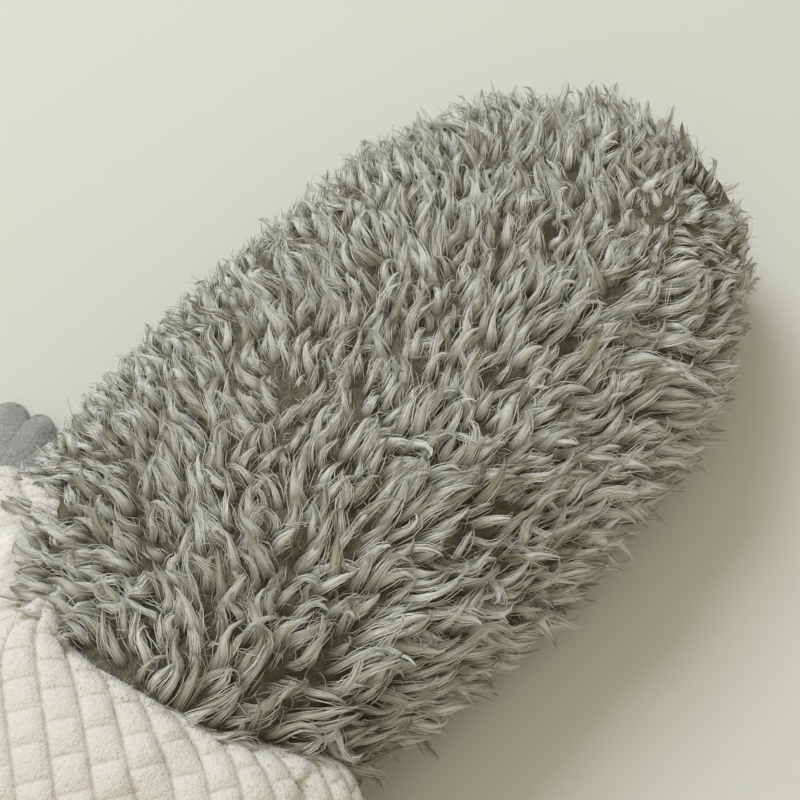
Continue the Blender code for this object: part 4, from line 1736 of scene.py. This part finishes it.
        filling = Softener(depth=0.001).make(
            "cuff_filling", "cuff_wadding", self.wardrobe.filling, "filling"
        )
        self.dent(filling)
        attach(filling, "sleeve")


# ---------------------------------------------------------------------------------------------
# The feet
# ---------------------------------------------------------------------------------------------
@dataclass
class Foot:
    """A stuffed felt foot with scalloped toes, sewn round its edge."""

    wardrobe: Wardrobe
    word: str
    pivot: Vector
    turn: float
    heel: float = 0.013
    reach: float = 0.075
    half_width: float = 0.024
    taper: float = 0.006
    height: float = 0.010
    toe_spacing: float = math.radians(22.5)
    toe_notch: float = 0.14
    toe_sector: float = math.radians(34)
    toe_roundness: float = 0.5
    segments: int = 192
    rings: int = 16
    stitch: float = 0.0026
    stitch_gap: float = 0.0016

    def radius(self, angle: np.ndarray) -> np.ndarray:
        """The outline about the foot's middle, at angles in radians from the toes' direction."""
        length = (self.reach + self.heel) / 2
        width = self.half_width - self.taper * (1 - np.cos(angle)) / 2
        along = (np.abs(np.cos(angle)) / length) ** SECTION_POWER
        across = (np.abs(np.sin(angle)) / width) ** SECTION_POWER
        radius = (along + across) ** (-1 / SECTION_POWER)
        turn = np.abs((angle + math.pi) % (2 * math.pi) - math.pi)
        notch = 1 - np.abs(np.cos(math.pi * turn / self.toe_spacing)) ** self.toe_roundness
        return radius * (1 - self.toe_notch * np.where(turn < self.toe_sector, notch, 0.0))

    def place(self, angle: np.ndarray, spread: np.ndarray, level: np.ndarray) -> np.ndarray:
        """Places in the row frame.

        Args:
            angle: Radians from the toes' direction.
            spread: 0 in the foot's middle and 1 at its edge.
            level: Height above the table.

        Returns:
            Places, by the shape of the arguments.
        """
        middle = (self.reach - self.heel) / 2
        radius = self.radius(angle) * spread
        x = middle + radius * np.cos(angle)
        y = radius * np.sin(angle)
        c, s = math.cos(self.turn), math.sin(self.turn)
        high = np.broadcast_to(level, x.shape)
        return np.stack([self.pivot.x + x * c - y * s, self.pivot.y + x * s + y * c, high], axis=-1)

    def skin(self, name: str, upper: bool) -> bpy.types.Object:
        """The upper or the sole, turned out at its edge into the seam.

        Args:
            name: The piece's name.
            upper: Whether it is the upper.

        Returns:
            The piece.
        """
        crowding = 0.55
        round_turn = np.linspace(-math.pi, math.pi, self.segments + 1)
        angles = round_turn - crowding * np.sin(round_turn)
        lats = np.linspace(0, math.pi / 2, self.rings + 1)
        a, b = np.meshgrid(angles, lats, indexing="ij")
        spread = signed_power(np.cos(b), 2 / SECTION_POWER)
        seam = 0.0019
        if upper:
            level = seam + (self.height - seam) * signed_power(np.sin(b), 2 / SECTION_POWER)
            crease = np.abs(np.cos(math.pi * a / self.toe_spacing)) ** 6
            between = np.where(np.abs(a) < self.toe_sector, 1 - crease, 0.0)
            level = level - 0.0018 * between * smooth_step((spread - 0.68) / 0.25) * np.sin(b)
            swell = wander(self.place(a, spread, level).reshape(-1, 3), 0.012, 4.0)
            level = level + 0.0005 * swell.reshape(a.shape) * np.sin(b)
        else:
            level = np.where(b > 0, seam - 0.0003 - 0.0012 * np.sin(b) ** 0.3, seam - 0.0003)
        points = self.place(a, spread, level)
        points[-1] = points[0]
        shape = mapped_grid(self.segments, self.rings, points, points[..., :2], 1e-5)
        if not upper:
            bmesh.ops.reverse_faces(shape, faces=shape.faces)
        bmesh.ops.recalc_face_normals(shape, faces=shape.faces)
        piece = finish_piece(name, shape, self.wardrobe.felt)
        thicken(piece, 0.0011)
        return piece

    def stitches(self) -> bpy.types.Object:
        """Short straight stitches all along the edge.

        Returns:
            All of them as one piece.
        """
        fine = np.linspace(-math.pi, math.pi, 4000)
        line = self.place(fine, np.full_like(fine, 0.955), np.full_like(fine, 0.0046))
        run = running_length(line)
        count = int(run[-1] / (self.stitch + self.stitch_gap))
        shape = bmesh.new()
        for number in range(count):
            first = run[-1] * number / count
            ends = [
                Vector([np.interp(at, run, line[:, axis]) for axis in range(3)])
                for at in (first, first + self.stitch)
            ]
            way = ends[1] - ends[0]
            made = bmesh.ops.create_icosphere(shape, subdivisions=1, radius=1.0)["verts"]
            squeeze = Matrix.Diagonal((0.00032, 0.00032, way.length / 2, 1.0))
            turn = way.to_track_quat("Z", "Y").to_matrix().to_4x4()
            put = Matrix.Translation((ends[0] + ends[1]) / 2) @ turn @ squeeze
            bmesh.ops.transform(shape, matrix=put, verts=made)
        return finish_piece(f"foot_{self.word}_stitches", shape, self.wardrobe.thread)

    def build(self) -> None:
        """Builds the foot and makes it ride on its own body."""
        body = f"foot_{self.word}"
        upper = self.skin(f"foot_{self.word}_felt", True)
        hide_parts(f"{body}_upper")
        sole = self.skin(f"foot_{self.word}_underside", False)
        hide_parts(f"{body}_sole")
        stitches = self.stitches()
        filling = Softener(depth=0.0006).make(
            f"foot_{self.word}_filling", f"{body}_wadding", self.wardrobe.filling, "filling"
        )
        for piece in (upper, sole, stitches, filling):
            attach(piece, body)
        dress(f"{body}_joint", self.wardrobe.snap)


# ---------------------------------------------------------------------------------------------
# The mouth, the eyes and the lining
# ---------------------------------------------------------------------------------------------
@dataclass
class Eye:
    """A glossy domed eye on its stem."""

    wardrobe: Wardrobe
    word: str
    radius: float = 0.0065

    def place(self) -> Vector:
        """The middle of the eye's dome.

        Returns:
            A place in the row frame.
        """
        low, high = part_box(f"eye_{self.word}")
        return (low + high) / 2

    def direction(self) -> Vector:
        """The way that the eye looks: from its washer to its dome.

        Returns:
            A unit vector.
        """
        low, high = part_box(f"eye_washer_{self.word}")
        return (self.place() - (low + high) / 2).normalized()

    def build(self) -> None:
        """Spins the dome and its stem in place of the solid, and dresses the washer."""
        node = bpy.data.objects[f"eye_{self.word}"]
        way = self.direction()
        points = np.array([v.co for v in node.data.vertices])
        heights = points @ np.array(way)
        low, high = heights.min(), heights.max()
        pole = Vector(points[int(heights.argmax())])
        dome, stem = 0.0055, 0.002
        profile = [(0.0, high)]
        for step in range(1, 13):
            lean = math.pi / 2 * step / 12
            profile.append((self.radius * math.sin(lean), high - dome * (1 - math.cos(lean))))
        base = high - dome
        under = base - 0.0001
        profile += [(self.radius - 0.0002, under), (stem, under), (stem, low), (0.0, low)]
        shape = bmesh.new()
        corners = [shape.verts.new((r, 0, h)) for r, h in profile]
        edges = [shape.edges.new(pair) for pair in zip(corners, corners[1:])]
        bmesh.ops.spin(
            shape, geom=corners + edges, axis=(0, 0, 1), cent=(0, 0, 0), angle=2 * math.pi,
            steps=48, use_merge=True,
        )
        bmesh.ops.remove_doubles(shape, verts=shape.verts, dist=1e-6)
        bmesh.ops.recalc_face_normals(shape, faces=shape.faces)
        turn = way.to_track_quat("Z", "Y").to_matrix().to_4x4()
        ground = pole - way * pole.dot(way)
        bmesh.ops.transform(shape, matrix=Matrix.Translation(ground) @ turn, verts=shape.verts)
        piece = finish_piece(f"eye_{self.word}_dome", shape, self.wardrobe.eye)
        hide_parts(f"eye_{self.word}")
        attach(piece, "head")
        dress(f"eye_washer_{self.word}", self.wardrobe.snap)


@dataclass
class Mouth:
    """The felt palates, the boards behind them and the tongue."""

    wardrobe: Wardrobe
    body: BodyShape

    def build(self) -> None:
        """Dresses the plates and makes the felt of the mouth."""
        for word, body in (("upper", "head"), ("lower", "sleeve")):
            dress(f"mouth_plate_{word}", self.wardrobe.board)
            palate = Softener(depth=0.0002, cell=0.004).make(
                f"palate_{word}_felt", f"palate_{word}", self.wardrobe.felt, "grey_felt"
            )
            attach(palate, body)
        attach(self.tongue(), "sleeve")
        crease = self.crease()
        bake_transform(crease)

    def crease(self) -> bpy.types.Object:
        """The felt folded behind the palates.

        Returns:
            The piece.
        """
        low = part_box("palate_lower")
        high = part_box("palate_upper")
        half = high[1].y - 0.0015
        level = self.body.mouth_level
        reach = (high[1].z + 0.0002 - level, level - low[0].z + 0.0002)
        back, front = self.body.hinge_x - 0.0014, high[0].x + 0.0010
        columns, rows = 60, 14
        y, turn = grid_over(columns, rows, (-half, half), (-math.pi / 2, math.pi / 2))
        rise = np.sin(turn)
        x = front - (front - back) * np.cos(turn)
        z = level + rise * np.where(rise > 0, reach[0], reach[1])
        points = np.stack([x, y, z], axis=-1)
        shape = mapped_grid(columns, rows, points, points[..., 1:], 1e-7)
        piece = finish_piece("mouth_crease", shape, self.wardrobe.felt)
        thicken(piece, 0.0007)
        return piece

    def tongue(self) -> bpy.types.Object:
        """A felt tongue with a round tip, soft edges and a crease down its middle.

        Returns:
            The piece.
        """
        low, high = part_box("tongue")
        half = (high.y - low.y) / 2
        thick = high.z - low.z
        straight = high.x - low.x - half
        columns, rows = 64, 24
        a, b = grid_over(columns, rows, (0, 1), (-1, 1))
        past = np.clip((a * (straight + half) - straight) / half, 0, 1)
        width = half * np.sqrt(np.maximum(1 - past**2, 0.0))
        x = low.x + a * (straight + half)
        y = b * width
        edge = np.sqrt(np.maximum(1 - np.abs(b) ** 6, 0.0)) * np.sqrt(np.maximum(1 - past**8, 0.0))
        crease = 0.0007 * bell(y, 0.0016) * (1 - past**2)
        z = low.z + thick * (0.35 + 0.65 * edge) - crease
        points = np.stack([x, y, z], axis=-1)
        shape = mapped_grid(columns, rows, points, points[..., :2], 1e-5)
        bmesh.ops.recalc_face_normals(shape, faces=shape.faces)
        if sum(face.normal.z for face in shape.faces) < 0:
            bmesh.ops.reverse_faces(shape, faces=shape.faces)
        piece = finish_piece("tongue_felt", shape, self.wardrobe.tongue)
        thicken(piece, 0.0006)
        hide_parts("tongue")
        return piece


@dataclass
class Lining:
    """The cloth tube for the hand, its hem, and the pockets for the fingers and the thumb."""

    wardrobe: Wardrobe
    body: BodyShape
    fur: FurryBody
    rear_x: float
    opening_half_width: float = 0.054
    inset: float = 0.0006
    wall: float = 0.0009

    def surface(self, along: np.ndarray, around: np.ndarray) -> np.ndarray:
        """Places on the lining, carried on through the cuff to its rear edge.

        Args:
            along: As for the body, but -1 is the seam and -2 the rear edge.
            around: Radians up from the puppet's left.

        Returns:
            Places by the shape of the arguments.
        """
        inside = self.body.point(np.maximum(along, -1.0), around, 0.0)
        past = np.clip(-along - 1.0, 0.0, 1.0)
        neck = self.body.neck_half_width - self.body.neck_pile
        flare = 1 + (self.opening_half_width / neck - 1) * past
        centre = np.array([0.0, 0.0, self.body.mouth_level])
        grown = np.stack([np.ones_like(flare), flare, flare**HEIGHT_POWER], axis=-1)
        places = (inside - centre) * grown + centre
        places[..., 0] = np.where(
            along < -1, self.body.seam_x + (self.rear_x - self.body.seam_x) * past, places[..., 0]
        )
        return places

    def panel(self, name: str, low: float, high: float) -> bpy.types.Object:
        """One half of the tube, with soft wrinkles.

        Args:
            name: The piece's name.
            low: Radians around where it starts.
            high: Radians around where it ends.

        Returns:
            The piece.
        """
        columns, rows = 150, 80
        a, t = grid_over(columns, rows, (-1.99, 0.40), (low, high))
        points = self.surface(a, t)
        normals = -surface_normals(points)
        middle = np.array([0.0, 0.0, self.body.mouth_level])
        outward = np.sum(normals * (points - middle), axis=-1, keepdims=True)
        normals = normals * np.sign(outward)
        flat = points.reshape(-1, 3)
        wrinkle = (0.5 + 0.5 * wander(flat * np.array([0.4, 1, 1]), 0.009, 7.0)).reshape(a.shape)
        pinned = np.sin(np.clip((t - low) / (high - low), 0, 1) * math.pi)
        points = points - normals * (self.inset + 0.0009 * wrinkle * pinned)[..., None]
        shape = mapped_grid(columns, rows, points, points[..., :2], 1e-6)
        bmesh.ops.recalc_face_normals(shape, faces=shape.faces)
        piece = finish_piece(name, shape, self.wardrobe.lining)
        thicken(piece, self.wall)
        long = max(cloth_length(points[:, j : j + 1].swapaxes(0, 1)) for j in range(rows + 1))
        return piece

    def hem(self) -> bpy.types.Object:
        """The rolled hem at the rear edge.

        Returns:
            The piece.
        """
        columns, rows = 160, 10
        radius = 0.0011
        around = np.linspace(0, 2 * math.pi, columns + 1)
        ring = self.surface(np.full_like(around, -1.985), around)
        centre = np.array([ring[0, 0], 0, self.body.mouth_level])
        ring = ring + (centre - ring) * 0.03
        turn = np.linspace(0, 2 * math.pi, rows + 1)
        out = unit(ring - centre)
        ahead = np.array([1.0, 0.0, 0.0])
        points = ring[:, None, :] + radius * (
            out[:, None, :] * np.cos(turn)[None, :, None] + ahead * np.sin(turn)[None, :, None]
        )
        points[-1] = points[0]
        points[:, -1] = points[:, 0]
        u, v = np.meshgrid(around * 0.05, turn * radius, indexing="ij")
        shape = mapped_grid(columns, rows, points, np.stack([u, v], axis=-1), 1e-6)
        bmesh.ops.recalc_face_normals(shape, faces=shape.faces)
        piece = finish_piece("lining_hem", shape, self.wardrobe.lining)
        return piece

    def build(self) -> None:
        """Builds the lining, the pockets and the filling round them."""
        gap = 0.004
        upper = self.panel("lining_upper", gap, math.pi - gap)
        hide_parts("lining_nape")
        self.fur.bend(upper)
        lower = self.panel("lining_lower", math.pi + gap, 2 * math.pi - gap)
        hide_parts("lining_sleeve")
        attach(lower, "sleeve")
        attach(self.hem(), "sleeve")
        soft = Softener(depth=0.0003)
        for node, body in (("finger_pocket", "head"), ("thumb_pocket", "sleeve")):
            piece = soft.make(f"{node}_cloth", node, self.wardrobe.lining, "lining_cloth")
            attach(piece, body)
        for node, body in (("head_wadding", "head"), ("jaw_wadding", "sleeve")):
            piece = soft.make(f"{node[:-8]}_filling", node, self.wardrobe.filling, "filling")
            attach(piece, body)


# ---------------------------------------------------------------------------------------------
# Table, light and camera
# ---------------------------------------------------------------------------------------------
@dataclass(frozen=True)
class Studio:
    """A plain pale table, soft light from the puppet's left, and the photograph's camera."""

    azimuth: float = math.radians(-49.46)
    elevation: float = math.radians(55.0)
    distance: float = 0.5035
    target: tuple[float, float, float] = (-0.00272, 0.00497, 0.028)
    lens: float = 70.0
    floor_size: float = 12.0
    floor_colour: Colour = (0.675, 0.685, 0.635)

    def camera(self) -> None:
        """Sets up the camera."""
        a, e = self.azimuth, self.elevation
        back = Vector((math.sin(a) * math.cos(e), -math.cos(a) * math.cos(e), math.sin(e)))
        data = bpy.data.cameras.new("camera")
        data.lens = self.lens
        data.clip_start, data.clip_end = 0.01, 50.0
        camera = bpy.data.objects.new("camera", data)
        camera.location = Vector(self.target) + back * self.distance
        camera.rotation_mode = "QUATERNION"
        camera.rotation_quaternion = (-back).to_track_quat("-Z", "Y")
        bpy.context.scene.collection.objects.link(camera)
        bpy.context.scene.camera = camera

    def lamp(
        self, name: str, place: tuple[float, float, float], size: float, power: float,
        colour: Colour,
    ) -> None:
        """Adds a soft lamp that faces the puppet.

        Args:
            name: The lamp's name.
            place: Where it is.
            size: Its side.
            power: Its power in watts.
            colour: Its colour.
        """
        data = bpy.data.lights.new(name, "AREA")
        data.shape = "SQUARE"
        data.size = size
        data.energy = power
        data.color = colour
        lamp = bpy.data.objects.new(name, data)
        lamp.location = place
        lamp.rotation_mode = "QUATERNION"
        lamp.rotation_quaternion = (-Vector(place)).to_track_quat("-Z", "Y")
        bpy.context.scene.collection.objects.link(lamp)

    def table(self) -> None:
        """Lays the table."""
        shape = bmesh.new()
        bmesh.ops.create_grid(shape, x_segments=8, y_segments=8, size=self.floor_size / 2)
        table = NodeTable("pale_table", roughness=0.9)
        grain = table.noise(table.place(Pattern.OBJECT), 3.0, 2.0)
        pale = self.floor_colour
        darker = tuple(0.985 * c for c in pale)
        table.colour(table.ramp(grain, [(0.3, darker), (0.7, pale)]))
        table.shader.inputs["Specular IOR Level"].default_value = 0.1
        floor = finish_piece("table_top", shape, table.material)

    def build(self) -> None:
        """Sets up the table, the lamps, the world and the camera."""
        self.table()
        self.lamp("key", (0.22, 1.15, 1.55), 0.9, 25.0, (0.83, 0.865, 1.0))
        self.lamp("fill", (-1.3, -0.6, 1.4), 1.6, 6.2, (1.0, 0.94, 0.72))
        world = bpy.data.worlds.new("studio")
        world.use_nodes = True
        tree = world.node_tree
        light, backdrop = tree.nodes["Background"], tree.nodes.new("ShaderNodeBackground")
        light.inputs["Color"].default_value = (1.0, 0.94, 0.70, 1.0)
        light.inputs["Strength"].default_value = 0.50
        backdrop.inputs["Color"].default_value = (0.66, 0.665, 0.59, 1.0)
        ray, both = tree.nodes.new("ShaderNodeLightPath"), tree.nodes.new("ShaderNodeMixShader")
        tree.links.new(ray.outputs["Is Camera Ray"], both.inputs["Fac"])
        tree.links.new(light.outputs["Background"], both.inputs[1])
        tree.links.new(backdrop.outputs["Background"], both.inputs[2])
        tree.links.new(both.outputs["Shader"], tree.nodes["World Output"].inputs["Surface"])
        bpy.context.scene.world = world
        bpy.context.scene.view_settings.view_transform = "Standard"
        self.camera()


def main() -> None:
    """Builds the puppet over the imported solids."""
    logging.basicConfig(level=logging.INFO, format="%(name)s: %(message)s")
    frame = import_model()
    wardrobe = Wardrobe()
    Studio().build()
    body = BodyShape.from_frame(frame["joints"])
    eyes = [Eye(wardrobe, word) for word in ("left", "right")]
    places = [eye.place() for eye in eyes]
    for eye in eyes:
        eye.build()
    feet = [j for j in frame["joints"] if j["child"] in FOOT_TURNS]
    rooms = [
        FootRoom(tuple(j["pos_m"][:2]), math.radians(FOOT_TURNS[j["child"]] + turned))
        for j, turned in ((j, j["range_deg"][j["pos_m"][1] < 0]) for j in feet)
    ]
    fur = FurryBody(body, wardrobe, places, rooms)
    fur.build()
    _, cuff_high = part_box("cuff_cover")
    lining_low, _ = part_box("lining_sleeve")
    Cuff(wardrobe, lining_low.x, cuff_high.y + 0.003, 0.075).build()
    Lining(wardrobe, body, fur, lining_low.x).build()
    Mouth(wardrobe, body).build()
    for joint in feet:
        word, turn = joint["child"].removeprefix("foot_"), FOOT_TURNS[joint["child"]]
        Foot(wardrobe, word, Vector(joint["pos_m"]), math.radians(turn)).build()


if __name__ == "__main__":
    main()
